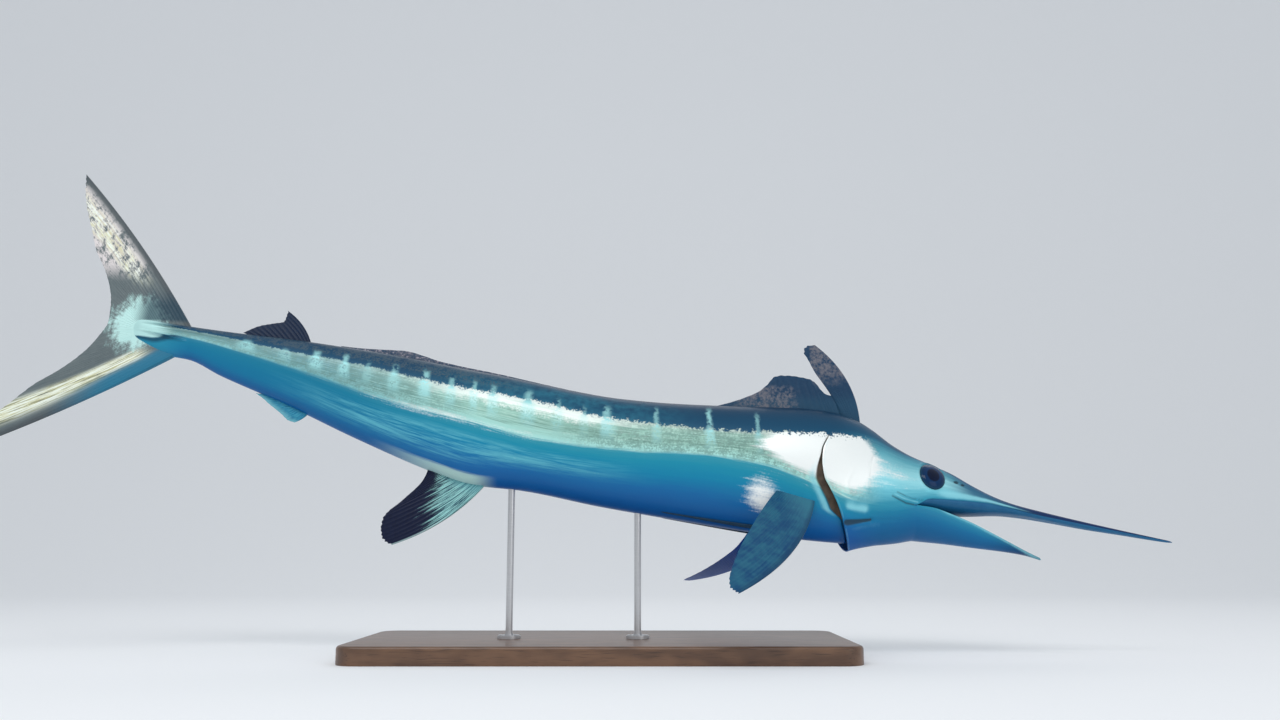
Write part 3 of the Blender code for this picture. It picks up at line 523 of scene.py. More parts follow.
# Inside, the floor lies part of the way up, with a shallow groove under the rim
floor_z = foot_z + 0.38 * (rim_z - foot_z)
leaving = eased(jaw_x, MOUTH_CORNER, 0.555)
wall = (1.0 - 0.16 * leaving) * wide
inside = points_of(jaw_x, wall * np.sin(lean), rim_z - (rim_z - floor_z) * np.cos(lean))
shift = (outside[:, 0:1] - inside[:, 0:1]) * np.array((0.0, 1.0, 1.0))
near_rim = np.clip(1.0 - down / 14.0, 0.0, 1.0)[..., None] ** 2
inside = inside + shift * (1.0 - leaving)[..., None] * near_rim
inside[..., 2] -= 0.0012 * hump(down - 3.0, 2.0) * eased(jaw_x, 0.545, 0.575)
rim = []
for t in (0.25, 0.5, 0.75):
    line = outside[:, 0] * (1.0 - t) + inside[:, 0] * t
    line[:, 2] += 0.0013 * math.sin(math.pi * t) * eased(jaw_x[:, 0], MOUTH_CORNER, 0.56)
    rim.append(line)
rim = np.stack(rim, axis=1)
mirror = np.array((1.0, -1.0, 1.0))
ring = np.concatenate(
    (
        outside, (outside * mirror)[:, -2::-1], rim * mirror,
        inside * mirror, inside[:, -2::-1], rim[:, ::-1], outside[:, 0:1],
    ), axis=1,
)
ring[-1] = CHIN
outer_count = 2 * outside.shape[1] - 1
index = np.arange(ring.shape[1])[None, :]
# Outside, deep blue at the jaw's foot to pale at its rim: partly painted shade under the jaw
jaw_tone = np.clip((ring[..., 2] - foot_z) / (rim_z - foot_z), 0.0, 1.0)
in_mouth = np.where((index >= outer_count + 2) & (index < ring.shape[1] - 3), 1.0, 0.0)
# A thin pale line follows the rim
rim_light = hump(rim_z - ring[..., 2] - 0.001, 0.0032) * eased(jaw_x, 0.555, 0.6) * (1.0 - in_mouth)
# Its paint starts as the cheek's, so that no seam shows at the mouth's corner
cheek_tone = tone(np.full(ring.shape[1], MOUTH_CORNER), ring[0, :, 2])
jaw_tone = cheek_tone + (0.06 + 1.02 * jaw_tone - cheek_tone) * eased(jaw_x, MOUTH_CORNER, 0.62)
mandible = hide_part("mandible", ring, jaw_tone, mouth=in_mouth, lines=-0.6 * rim_light)

# Throat: the roof and the floor of the mouth, which run back from the jaws and meet in a slit. They
# close the skin, and all its grids are then joined along their borders.
SLIT_X = 0.492
SLIT_Z = 0.224
SLIT_HALF_WIDTH = 0.022
# The linings darken as they run back: painted shade deep in the throat
back_in = np.linspace(0.0, 1.0, 13)[:, None]
linings = []
for first in (upper_jaw[0, LIP:], inside[0]):
    whole = np.concatenate((first, (first * mirror)[-2::-1]))
    slit = points_of(SLIT_X, SLIT_HALF_WIDTH * np.linspace(1.0, -1.0, len(whole)), SLIT_Z)
    ease = eased(back_in, 0.0, 1.0)[..., None]
    lining = whole * (1.0 - ease) + slit * ease
    lining[..., 0] = MOUTH_CORNER + (SLIT_X - MOUTH_CORNER) * back_in
    linings.append(hide_part("throat", lining, 1.0, dark=back_in ** 0.7, mouth=1.0))
skin = closed([trunk, bill, mandible, *linings])


# The skin's paint: navy, silver and blue laid over the cast with an airbrush, with pale bars,
# painted highlights and painted shade under a thin clear coat. The marks on the grids say where
# each colour goes, and noise drawn out along the flank makes its streaks and speckles.
class Wire:
    """An output in a material's nodes. Arithmetic on it adds Math nodes to the same tree."""

    def __init__(self, tree, output=None):
        self.tree = tree
        self.output = output

    def node(self, kind, settings=None, sockets=None, out=0):
        """A new node with its properties and inputs set, as a wire from one of its outputs."""
        made = self.tree.nodes.new(kind)
        for name, value in (settings or {}).items():
            if name == "stops":
                elements = made.color_ramp.elements
                while len(elements) < len(value):
                    elements.new(1.0)
                for element, (place, colour) in zip(elements, value):
                    element.position = place
                    element.color = (*colour, 1.0)
            else:
                setattr(made, name, value)
        for name, value in (sockets or {}).items():
            if isinstance(value, Wire):
                self.tree.links.new(value.output, made.inputs[name])
                continue
            socket = made.inputs[name]
            if isinstance(value, tuple) and len(value) < len(socket.default_value):
                value = (*value, 1.0)
            socket.default_value = value
        return Wire(self.tree, made.outputs[out])

    def maths(self, operation, first, second):
        return self.node("ShaderNodeMath", {"operation": operation}, {0: first, 1: second})

    def __add__(self, other):
        return self.maths("ADD", self, other)

    __radd__ = __add__

    def __mul__(self, other):
        return self.maths("MULTIPLY", self, other)

    __rmul__ = __mul__

    def __sub__(self, other):
        return self.maths("SUBTRACT", self, other)

    def __rsub__(self, other):
        return self.maths("SUBTRACT", other, self)

    def __truediv__(self, other):
        return self.maths("DIVIDE", self, other)


def feed(shader, **values):
    """Wires or numbers into the shader's sockets, by name with _ for spaces."""
    for name, value in values.items():
        socket = shader.inputs[name.replace("_", " ")]
        if isinstance(value, Wire):
            shader.id_data.links.new(value.output, socket)
        else:
            socket.default_value = value


def finish_of(name, coat=0.0, coat_roughness=0.1, specular=0.5):
    """A new material: itself, its tree as a Wire, and its shader."""
    made = bpy.data.materials.new(name)
    made.use_nodes = True
    shader = made.node_tree.nodes["Principled BSDF"]
    feed(shader, Coat_Weight=coat, Coat_Roughness=coat_roughness, Specular_IOR_Level=specular)
    return made, Wire(made.node_tree), shader


def mixed(share, first, second):
    """Two colours mixed by a share."""
    sockets = {0: share, 6: first, 7: second}
    return share.node("ShaderNodeMix", {"data_type": "RGBA"}, sockets, out=2)


def between(value, start, end, low=0.0, high=1.0):
    """A soft step of a value from one number to another."""
    return value.node(
        "ShaderNodeMapRange", {"interpolation_type": "SMOOTHSTEP"},
        {"Value": value, "From Min": start, "From Max": end, "To Min": low, "To Max": high},
    )


def grain(place, scale, detail=3.0, roughness=0.55):
    return place.node(
        "ShaderNodeTexNoise", None,
        {"Vector": place, "Scale": scale, "Detail": detail, "Roughness": roughness},
    )


def ramp(value, *stops):
    return value.node("ShaderNodeValToRGB", {"stops": stops}, {"Fac": value})


def stretched(place, scale):
    return place.node("ShaderNodeMapping", None, {"Vector": place, "Scale": scale})


def part_of(vector, axis):
    return vector.node("ShaderNodeSeparateXYZ", None, {"Vector": vector}, out=axis)


def kept(wires, mark, out="Fac"):
    """A mark that was kept at the vertices."""
    return wires.node("ShaderNodeAttribute", {"attribute_name": mark}, out=out)


def bumped(height, strength, distance):
    sockets = {"Height": height, "Strength": strength, "Distance": distance}
    return height.node("ShaderNodeBump", None, sockets)


def settle(piece, material, slot, *nodes):
    """The piece takes its finish, rides on the model, and stands for its CAD nodes."""
    piece.data.materials.clear()
    piece.data.materials.append(material)
    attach(piece, "root")
    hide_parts(*nodes)


hide, ink, shader = finish_of("marlin_paint", coat_roughness=0.12, specular=0.17)
upright = kept(ink, "upright", "Vector")
place = part_of(upright, "X")
flank = part_of(upright, "Y")
level = kept(ink, "tone")
# Streaks follow the flank: along it the grain is drawn out, and across it it is fine
flow = ink.node("ShaderNodeCombineXYZ", None, {"X": place * 0.05, "Y": level * 0.075, "Z": flank * 0.2})
long_streak = grain(flow, 90.0, 3.0, 0.55)
fine_streak = grain(flow, 420.0, 4.0, 0.65)
fine_grain = grain(upright, 300.0, 3.0, 0.6)
blotch = grain(upright, 75.0, 3.0, 0.6)
soft = level + (long_streak - 0.5) * 0.15 + (fine_streak - 0.5) * 0.16
ragged = level + (blotch - 0.5) * 0.34 + (fine_grain - 0.5) * 0.24
# Toward the belly the ramps run to deep blue: painted shade and a painted reflection of blue water
rear_colour = ramp(
    soft / 3.0, (0.0, (0.003, 0.105, 0.32)), (0.12, (0.004, 0.175, 0.34)),
    (0.3, (0.005, 0.19, 0.315)), (0.35, (0.024, 0.215, 0.32)), (0.378, (0.19, 0.47, 0.5)),
    (0.42, (0.19, 0.4, 0.415)), (0.48, (0.105, 0.26, 0.285)), (0.58, (0.085, 0.205, 0.23)),
    (0.64, (0.2, 0.33, 0.34)),
)
front_colour = ramp(
    soft / 3.0, (0.0, (0.003, 0.1, 0.37)), (0.12, (0.003, 0.145, 0.39)),
    (0.22, (0.004, 0.235, 0.41)), (0.29, (0.009, 0.27, 0.4)), (0.342, (0.032, 0.3, 0.4)),
    (0.372, (0.42, 0.78, 0.72)), (0.42, (0.38, 0.68, 0.6)), (0.48, (0.24, 0.44, 0.37)),
    (0.57, (0.2, 0.37, 0.31)), (0.62, (0.3, 0.47, 0.4)), (0.655, (0.52, 0.62, 0.56)),
)
head_colour = ramp(
    soft / 3.0, (0.0, (0.002, 0.105, 0.29)), (0.16, (0.003, 0.145, 0.335)),
    (0.28, (0.008, 0.21, 0.37)), (0.35, (0.03, 0.3, 0.43)), (0.42, (0.17, 0.57, 0.67)),
    (0.47, (0.35, 0.78, 0.85)), (0.54, (0.31, 0.69, 0.75)), (0.6, (0.13, 0.44, 0.53)),
    (0.655, (0.035, 0.21, 0.31)), (0.74, (0.01, 0.09, 0.17)), (1.0, (0.005, 0.045, 0.1)),
)
colour = mixed(between(place, -0.52, -0.16), rear_colour, front_colour)
# A faint painted highlight streak lies low on the flank, and a pale sheath beside the anal fin
low_highlight = between(level + between(place, -0.1, -0.3) * 0.16, 0.32, 0.62)
low_highlight = low_highlight * between(level, 0.9, 0.7)
low_highlight = low_highlight * between(place, -0.62, -0.38) * between(place, 0.1, -0.12)
streaky = between(fine_streak * 0.5 + long_streak * 0.5, 0.36, 0.64)
colour = mixed(low_highlight * streaky * 0.85, colour, (0.13, 0.5, 0.6))
sheath = between(place, -0.42, -0.26) * between(place, -0.18, -0.23)
sheath = sheath * between(level + (fine_streak - 0.5) * 0.08, 0.17, 0.1)
colour = mixed(sheath * (0.55 + long_streak * 0.5), colour, (0.56, 0.8, 0.72))
# Bronze and silver lines run through the band
in_band = between(soft, 1.2, 1.36)
bronze = between(fine_streak, 0.5, 0.66) * in_band * 0.45
colour = mixed(bronze, colour, (0.075, 0.14, 0.115))
silver_lines = between(fine_streak, 0.5, 0.34) * in_band * between(place, -0.55, -0.25, 0.2, 0.45)
colour = mixed(silver_lines, colour, (0.48, 0.68, 0.6))
# Before and behind the middle the band is duller and speckled
dull = between(place, -0.12, 0.04) * 0.62 + between(place, -0.18, -0.34) * 0.5
dull = dull * between(fine_grain * 0.4 + blotch * 0.35 + fine_streak * 0.25, 0.4, 0.57)
dull = dull * between(soft + (blotch - 0.5) * 0.2, 1.03, 1.2)
colour = mixed(dull, colour, (0.105, 0.205, 0.18))
# Under the dark edge a painted highlight makes the silver brightest over the middle of the fish
crest_highlight = between(ragged, 1.58, 1.84) * between(place, -0.36, -0.2) * between(place, 0.1, -0.05)
colour = mixed(crest_highlight * between(long_streak, 0.3, 0.52) * 0.9, colour, (0.7, 0.76, 0.72))
back_colour = ramp(
    level - 2.0, (0.0, (0.008, 0.075, 0.15)), (0.2, (0.006, 0.062, 0.13)),
    (0.6, (0.005, 0.048, 0.105)), (1.0, (0.003, 0.026, 0.065)),
)
mid_back = between(place, -0.36, -0.2) * between(place, 0.2, 0.0)
cloudy = mid_back * between(blotch * 0.7 + long_streak * 0.3, 0.26, 0.72) * between(level, 2.95, 2.55)
back_colour = mixed(cloudy * 0.66, back_colour, (0.024, 0.185, 0.27))
# Behind the middle the top of the back is mottled grey brown, as the laid-back web beside it is
dusty = between(place, -0.1, -0.22) * between(level, 2.12, 2.36)
dusty = dusty * between(fine_grain * 0.5 + blotch * 0.5, 0.42, 0.58)
back_colour = mixed(dusty * 0.75, back_colour, (0.062, 0.1, 0.13))
on_back = between(ragged, 1.95, 2.04)
colour = mixed(on_back, colour, back_colour)
# Pale blue bars stand on the dark edge, each of its own width and strength
bars = kept(ink, "bars")
number = ink.node("ShaderNodeMath", {"operation": "ROUND"}, {0: bars})
chance = ink.node("ShaderNodeTexWhiteNoise", {"noise_dimensions": "1D"}, {"W": number}, out="Value")
off_bar = ink.node(
    "ShaderNodeMath", {"operation": "ABSOLUTE"}, {0: bars - number + (blotch - 0.5) * 0.16},
)
slim = between(bars, 13.2, 13.8)
wide = 0.125 - slim * 0.085 + chance * 0.035
bar_side = between(off_bar / wide, 1.2, 0.15)
bar_top = level - slim * 0.26 - chance * 0.22 + between(bars, 3.5, 0.5) * 0.15
bar_top = bar_top + (blotch - 0.5) * 0.55
bar_span = between(level, 1.84, 1.96) * between(bar_top, 2.36, 2.06)
ghost = between(off_bar / wide, 2.1, 0.6) * between(level, 1.18, 1.56)
ghost = ghost * between(level, 2.0, 1.9)
ghost = ghost * between(blotch * 0.5 + fine_grain * 0.5, 0.36, 0.54)
on_trunk = between(bars, -0.8, -0.4) * between(bars, 16.7, 16.4)
worn = between(blotch, 0.34, 0.52)
bar_share = bar_side * bar_span * worn * (0.4 + chance * 0.55) + ghost * (0.26 + chance * 0.4)
colour = mixed(bar_share * on_trunk, colour, (0.29, 0.6, 0.61))
# The tail root is pale above and blue below
tail_end = between(place + (long_streak - 0.5) * 0.05, -0.765, -0.815)
tail_foot = between(place, -0.765, -0.815, 1.15, 0.75)
above_foot = level - tail_foot + (fine_streak - 0.5) * 0.2
tail_end = tail_end * between(above_foot, -0.12, 0.1) * between(level, 2.85, 2.45)
colour = mixed(tail_end * 0.95, colour, (0.5, 0.79, 0.76))
root_low = between(place, -0.735, -0.8) * between(above_foot, 0.0, -0.2)
colour = mixed(root_low * 0.85, colour, (0.02, 0.26, 0.4))
# Painted shade, dark, runs up to the tail root under the lower keel
keel_shade = between(place, -0.745, -0.775) * between(above_foot, -0.42, -0.16)
keel_shade = keel_shade * between(above_foot, 0.06, -0.06)
colour = mixed(keel_shade * 0.8, colour, (0.006, 0.045, 0.09))
# The head is painted without a hard edge, and the bill and the chin's tip darken to navy
on_head = between(place, 0.4, 0.49)
colour = mixed(on_head, colour, head_colour)
# Painted glare: near-white painted highlight on the flank, the cheek and the bill
shine = kept(ink, "shine")
uneven = (long_streak - 0.5) * 0.75 + (fine_streak - 0.5) * 0.55 + (fine_grain - 0.5) * 0.35
glare_share = between(shine + uneven * (1.0 - shine * 0.55), 0.2, 0.62)
colour = mixed(glare_share * (1.0 - on_back) * 0.97, colour, (0.97, 1.0, 0.975))
snout = between(place + (long_streak - 0.5) * 0.05, 0.585, 0.65)
colour = mixed(snout * between(level, 0.98, 1.26) * 0.88, colour, (0.003, 0.08, 0.18))
tip_share = between(place + (fine_streak - 0.5) * 0.03, 0.645, 0.765)
colour = mixed(tip_share, colour, (0.002, 0.024, 0.1))
# Then the drawn lines, dark ones as painted shade, the mouth's lining and the gill chamber's painted
# shade
lines = kept(ink, "lines")
colour = mixed(between(lines, 0.1, 0.95) * 0.85, colour, (0.016, 0.036, 0.05))
pale_share = between(lines + (blotch - 0.5) * 0.3, -0.08, -0.9)
colour = mixed(pale_share * 0.75, colour, (0.3, 0.74, 0.82))
in_mouth = kept(ink, "mouth")
roof_colour = mixed(blotch, (0.006, 0.09, 0.23), (0.02, 0.15, 0.29))
colour = mixed(in_mouth, colour, roof_colour)
chamber_shade = kept(ink, "dark")
chamber_shade_colour = mixed(blotch, (0.03, 0.026, 0.024), (0.19, 0.14, 0.1))
colour = mixed(between(chamber_shade, 0.05, 0.95), colour, chamber_shade_colour)
scales = ink.node(
    "ShaderNodeTexVoronoi", {"feature": "F1"},
    {"Vector": stretched(upright, (1.0, 1.0, 2.6)), "Scale": 150.0, "Randomness": 0.9},
    out="Distance",
)
relief = scales * 0.6 + fine_grain * 0.5
silver = between(soft, 1.0, 1.3) * (1.0 - on_back) * (1.0 - chamber_shade) * (1.0 - snout)
feed(
    shader, Base_Color=colour, Roughness=0.3 + blotch * 0.14 + chamber_shade * 0.4,
    Metallic=silver * 0.3, Coat_Weight=(1.0 - chamber_shade) * (0.11 - on_back * 0.08),
    Normal=bumped(relief, 0.18, 0.0005),
)
settle(
    skin, hide, "skin", "head", "lower_jaw", "gill_cover_right", "gill_cover_left", "torso_front",
    "torso_rear", "tail",
)

# The eyes: glass domes, nearly flush with the head as a billfish's are, each seated in a round
# socket behind a rim of skin. They are blown in dark glass with a thin pale ring round the pupil.
GLASS_RINGS = (0.0, 0.12, 0.24, 0.36, 0.48, 0.6, 0.71, 0.8, 0.88, 0.94, 0.98, 1.0)
GLASS_DOME = 0.0085
GLASS_SEAT = 0.004
GLASS_SUNK = 0.0012


def head_depth(x, z):
    """How far the head's side lies from its middle plane."""
    middle = widest(x)
    reach = np.where(z > middle, back(x) - middle, middle - palate(x))
    return half_width(x) * np.sqrt(np.clip(1.0 - ((z - middle) / reach) ** 2, 0.04, 1.0))


glass, ink, shader = finish_of("eye_glass", coat=0.2, coat_roughness=0.03, specular=0.08)
spot = part_of(kept(ink, "spread", "Vector"), "X")
iris_grain = grain(kept(ink, "upright", "Vector"), 300.0, 3.0)
eye_colour = ramp(
    spot + (iris_grain - 0.5) * 0.06, (0.0, (0.001, 0.004, 0.018)), (0.44, (0.001, 0.005, 0.024)),
    (0.52, (0.002, 0.034, 0.112)), (0.7, (0.002, 0.028, 0.095)), (0.86, (0.003, 0.034, 0.09)),
    (0.95, (0.008, 0.06, 0.11)), (1.0, (0.002, 0.01, 0.022)),
)
eye_colour = mixed(iris_grain * 0.3, eye_colour, (0.002, 0.018, 0.07))
feed(shader, Base_Color=eye_colour, Roughness=0.05)
round_turns = np.linspace(0.0, 2.0 * math.pi, 65)[None, :]
shares = np.array(GLASS_RINGS)[:, None]
x = EYE[0] + EYE_RADIUS * shares * np.cos(round_turns)
z = EYE[1] + EYE_RADIUS * EYE_TALL * shares * np.sin(round_turns)
crown = GLASS_DOME * np.sqrt(1.0 - shares ** 2)
spread_marks = np.concatenate((np.broadcast_to(shares, x.shape), np.ones(x[1:].shape)))
for name, side in (("eye_right", -1.0), ("eye_left", 1.0)):
    outwards = np.array((0.0, side, 0.0))
    dome = points_of(x, side * (head_depth(x, z) + (crown - GLASS_SUNK)), z)
    seat = dome[::-1][1:] - outwards * GLASS_SEAT - outwards * crown[::-1][1:, :, None]
    ball = surface(
        "glass_" + name, np.concatenate((dome, seat)), spread=np.stack((spread_marks,) * 3, -1),
    )
    settle(closed([ball], sharp=60.0), glass, "eye", name)

# First dorsal fin: a web on spines, with a bent finger of front rays, a round lobe behind it, and
# the rest laid back in its groove. Cast thin in resin, and painted navy with brown mottling.
SUNK = 0.012
CLOSING = 0.006
TIP_CLOSES = 0.965


def middle_plane(x, z):
    return points_of(x, 0.0, z), np.array((0.0, 1.0, 0.0))


def rayed(name, guides, rays, rows, root_half, edge_half, ridge, notch=0.014, place=middle_plane):
    """A closed fin on its rays: guides are (root, end, bow) from its front to its rear.

    Half the web's thickness runs from root_half to edge_half. The rays stand out from it by ridge,
    and between their tips it is scalloped by notch. The place function turns two measures into
    points and normals.
    """
    at = np.linspace(0.0, 1.0, len(guides))
    plain = [(*root, *end, bow) for root, end, bow in guides]
    root_a, root_b, end_a, end_b, bow = (through(*zip(at, row)) for row in zip(*plain))
    s = np.linspace(0.0, 1.0, rays * 6 + 1)
    s = np.unique(np.concatenate((s, (0.0012, 0.003, CLOSING, 0.994, 0.997, 0.9988))))[None, :]
    t = np.concatenate((np.linspace(0.0, 0.94, rows), (TIP_CLOSES, 0.982, 0.993, 1.0)))[:, None]
    on_ray = 0.5 + 0.5 * np.cos(2.0 * math.pi * s * rays)
    ragged = 0.5 + 0.25 * np.sin(s * rays * 2.9 + 1.3) + 0.25 * np.sin(s * rays * 5.3 + 0.4)
    ends_free = eased(s, 0.0, 0.03) * (1.0 - eased(s, 0.97, 1.0))
    length = 1.0 - notch * ends_free * ((1.0 - on_ray) * 0.7 + ragged * 0.6)
    u = t * length
    root = np.stack((root_a(s), root_b(s)), -1)
    end = np.stack((end_a(s), end_b(s)), -1)
    along = end - root
    sideways = np.stack((-along[..., 1], along[..., 0]), -1)
    sideways = sideways / np.linalg.norm(sideways, axis=-1, keepdims=True)
    control = (root + end) / 2.0 + sideways * 2.0 * bow(s)[..., None]
    out = u[..., None]
    flat = root * (1.0 - out) ** 2 + control * 2.0 * out * (1.0 - out) + end * out * out
    half = root_half(s) * (1.0 - u) + edge_half * u
    half = half + ridge * on_ray ** 3 * np.sin(math.pi * np.clip(0.12 + 0.84 * u, 0.0, 1.0))
    for from_end in (s, 1.0 - s):
        half = half * np.sqrt(1.0 - (1.0 - np.clip(from_end / CLOSING, 0.0, 1.0)) ** 2)
    half = half * np.sqrt(1.0 - np.clip((t - TIP_CLOSES) / 0.035, 0.0, 1.0) ** 2)
    centre, normal = place(flat[..., 0], flat[..., 1])
    front = centre + normal * half[..., None]
    rear_face = (centre - normal * half[..., None])[::-1]
    points = np.concatenate((front, rear_face, front[:1]))
    # X across the rays, Y out along them, and Z 1 on the face that looks along the normal
    upper = points_of(s, u, 1.0)
    spread_marks = np.concatenate((upper, points_of(s, u, 0.0)[::-1], upper[:1]))
    return closed([surface(name, points, spread=spread_marks)], merge=0.00001, sharp=60.0)


def fin_finish(name):
    return finish_of(name, coat=0.04, coat_roughness=0.15, specular=0.16)


def rooted(edge, sunk, rays, ahead=0.0):
    """Guides from rays of (root x, end x, end z, bow), their roots sunk under the body's edge."""
    return [((x + ahead, float(edge(x)) + sunk), (ex, ez), bow) for x, ex, ez, bow in rays]


raised = (
    (0.461, 0.389, 0.562, -0.0225), (0.456, 0.372, 0.56, -0.018), (0.451, 0.366, 0.549, -0.015),
    (0.447, 0.373, 0.534, -0.011), (0.443, 0.38, 0.518, -0.007), (0.439, 0.388, 0.502, -0.004),
    (0.435, 0.399, 0.488, -0.002), (0.431, 0.412, 0.475, 0.0), (0.427, 0.419, 0.461, 0.0),
    (0.422, 0.405, 0.463, 0.0), (0.416, 0.394, 0.473, 0.0), (0.408, 0.386, 0.485, 0.0),
    (0.397, 0.378, 0.492, 0.0), (0.382, 0.362, 0.497, 0.0), (0.362, 0.343, 0.5, 0.0),
    (0.342, 0.325, 0.501, 0.0), (0.324, 0.309, 0.497, 0.0), (0.308, 0.298, 0.484, 0.0),
    (0.293, 0.281, 0.469, 0.0), (0.273, 0.256, 0.457, 0.0), (0.25, 0.228, 0.447, 0.0),
)
# Height of the laid-back web over the back
fold_height = through(
    (-0.49, 0.002), (-0.45, 0.004), (-0.41, 0.008), (-0.36, 0.014), (-0.33, 0.011), (-0.3, 0.007),
    (-0.2, 0.0045), (-0.1, 0.003), (0.2, 0.0025),
)
# The laid-back web has guides of its own, evenly spaced and leaning a little
laid_x = [0.222 - 0.0295 * i for i in range(24)]
laid = [(x, x - 0.024, float(back(x - 0.024) + fold_height(x - 0.024)), 0.0) for x in laid_x]
first_dorsal = rayed(
    "first_dorsal", rooted(back, -SUNK, (*raised, *laid)), rays=58, rows=24, notch=0.016,
    root_half=through((0.0, 0.003), (0.4, 0.002), (0.55, 0.0026), (1.0, 0.0022)),
    edge_half=0.00045, ridge=0.0006,
)
navy, ink, shader = fin_finish("dorsal_paint")
upright = kept(ink, "upright", "Vector")
cloud = grain(upright, 42.0, 4.0, 0.65)
speck = grain(upright, 210.0, 3.0, 0.6)
height, station = part_of(upright, "Z"), part_of(upright, "X")
# The mottling lies on the finger's upper part, low on the lobe's rear, and on the laid-back web
finger = between(height, 0.445, 0.535) * between(station, 0.372, 0.384)
lobe = between(station, 0.375, 0.32) * between(height, 0.492, 0.464)
lobe = lobe * between(station, 0.215, 0.26)
rear_share = between(station, -0.05, -0.28) * between(station, -0.52, -0.44) * 0.8
where = between(finger + lobe + rear_share + (cloud - 0.5) * 0.8, 0.25, 0.85)
mottle = where * between(cloud * 0.5 + speck * 0.5, 0.38, 0.62)
web = mixed(speck, (0.006, 0.032, 0.08), (0.018, 0.062, 0.125))
foot_share = between(height, 0.47, 0.44) * between(station, 0.2, 0.26) * 0.5
web = mixed(foot_share, web, (0.02, 0.085, 0.15))
dust = mixed(between(station, -0.05, 0.25), (0.165, 0.165, 0.195), (0.2, 0.19, 0.21))
web = mixed(mottle * 0.8, web, dust)
# Small pale flecks lie along the laid-back web
flecks = between(speck + (cloud - 0.5) * 0.3, 0.56, 0.66) * between(station, 0.02, -0.06)
web = mixed(flecks * between(station, -0.52, -0.44) * 0.75, web, (0.42, 0.38, 0.44))
feed(
    shader, Base_Color=web, Roughness=0.42 + cloud * 0.15,
    Normal=bumped(speck + cloud, 0.2, 0.0004),
)
settle(first_dorsal, navy, "fin", "dorsal_fin_first")

# Second dorsal and second anal fins: short, soft fins near the tail root, one above and one below.
# Each ends in a longer last ray; the upper is navy, and the lower is thin and pale.
SMALL_SUNK = 0.01
second_dorsal = rayed(
    "second_dorsal",
    rooted(back, -SMALL_SUNK, (
        (-0.531, -0.583, 0.616, -0.008), (-0.538, -0.585, 0.604, -0.005),
        (-0.547, -0.588, 0.594, -0.002), (-0.562, -0.601, 0.591, 0.0),
        (-0.577, -0.616, 0.588, 0.0), (-0.592, -0.631, 0.584, 0.0), (-0.606, -0.645, 0.577, 0.0),
        (-0.618, -0.657, 0.57, 0.0),
    )),
    rays=12, rows=18, root_half=through((0.0, 0.0026), (1.0, 0.0018)), edge_half=0.0004, ridge=0.0005,
)
dusk, ink, shader = fin_finish("second_dorsal_paint")
speck = grain(kept(ink, "upright", "Vector"), 160.0, 3.0)
feed(
    shader, Base_Color=mixed(speck, (0.002, 0.009, 0.034), (0.006, 0.024, 0.062)),
    Roughness=0.34 + speck * 0.2, Normal=bumped(speck, 0.2, 0.0004),
)
settle(second_dorsal, dusk, "fin", "dorsal_fin_second")
second_anal = rayed(
    "second_anal",
    rooted(belly, SMALL_SUNK, (
        (-0.52, -0.545, 0.398, 0.003), (-0.527, -0.557, 0.402, 0.002),
        (-0.536, -0.568, 0.412, 0.0), (-0.546, -0.579, 0.421, 0.0), (-0.557, -0.592, 0.431, 0.0),
        (-0.568, -0.606, 0.443, 0.0), (-0.578, -0.619, 0.452, 0.0),
    )),
    rays=11, rows=18, root_half=through((0.0, 0.0024), (1.0, 0.0016)), edge_half=0.0004, ridge=0.0005,
)
pale, ink, shader = fin_finish("second_anal_paint")
parts = kept(ink, "spread", "Vector")
speck = grain(stretched(parts, (22.0, 1.0, 1.0)), 3.0, 3.0)
web = mixed(between(speck, 0.36, 0.64), (0.006, 0.15, 0.29), (0.05, 0.31, 0.43))
web = mixed(between(part_of(parts, "Y"), 0.66, 0.98) * 0.55, web, (0.24, 0.56, 0.6))
feed(shader, Base_Color=web, Roughness=0.36 + speck * 0.15, Normal=bumped(speck, 0.2, 0.0004))
settle(second_anal, pale, "fin", "anal_fin_second")

# First anal fin: a broad round sail under the belly. Its front rays are silvery green with dark
# streaks, and its rear and tip are navy black.
first_anal = rayed(
    "first_anal",
    rooted(belly, SUNK, (
        (-0.202, -0.357, 0.18, 0.015), (-0.212, -0.37, 0.186, 0.012),
        (-0.222, -0.377, 0.197, 0.009), (-0.232, -0.379, 0.212, 0.006),
        (-0.243, -0.376, 0.228, 0.003), (-0.254, -0.366, 0.241, 0.0), (-0.265, -0.352, 0.253, 0.0),
        (-0.276, -0.339, 0.266, 0.0), (-0.287, -0.326, 0.279, 0.0), (-0.298, -0.316, 0.291, 0.0),
        (-0.306, -0.309, 0.304, 0.0),
    ), ahead=0.003),
    rays=20, rows=26, root_half=through((0.0, 0.0036), (1.0, 0.0024)), edge_half=0.00045, ridge=0.0007,
)
sail, ink, shader = fin_finish("anal_paint")
parts = kept(ink, "spread", "Vector")
across, outward = part_of(parts, "X"), part_of(parts, "Y")
streak = grain(stretched(parts, (34.0, 1.4, 1.0)), 2.0, 4.0, 0.7)
speck = grain(kept(ink, "upright", "Vector"), 200.0, 2.0)
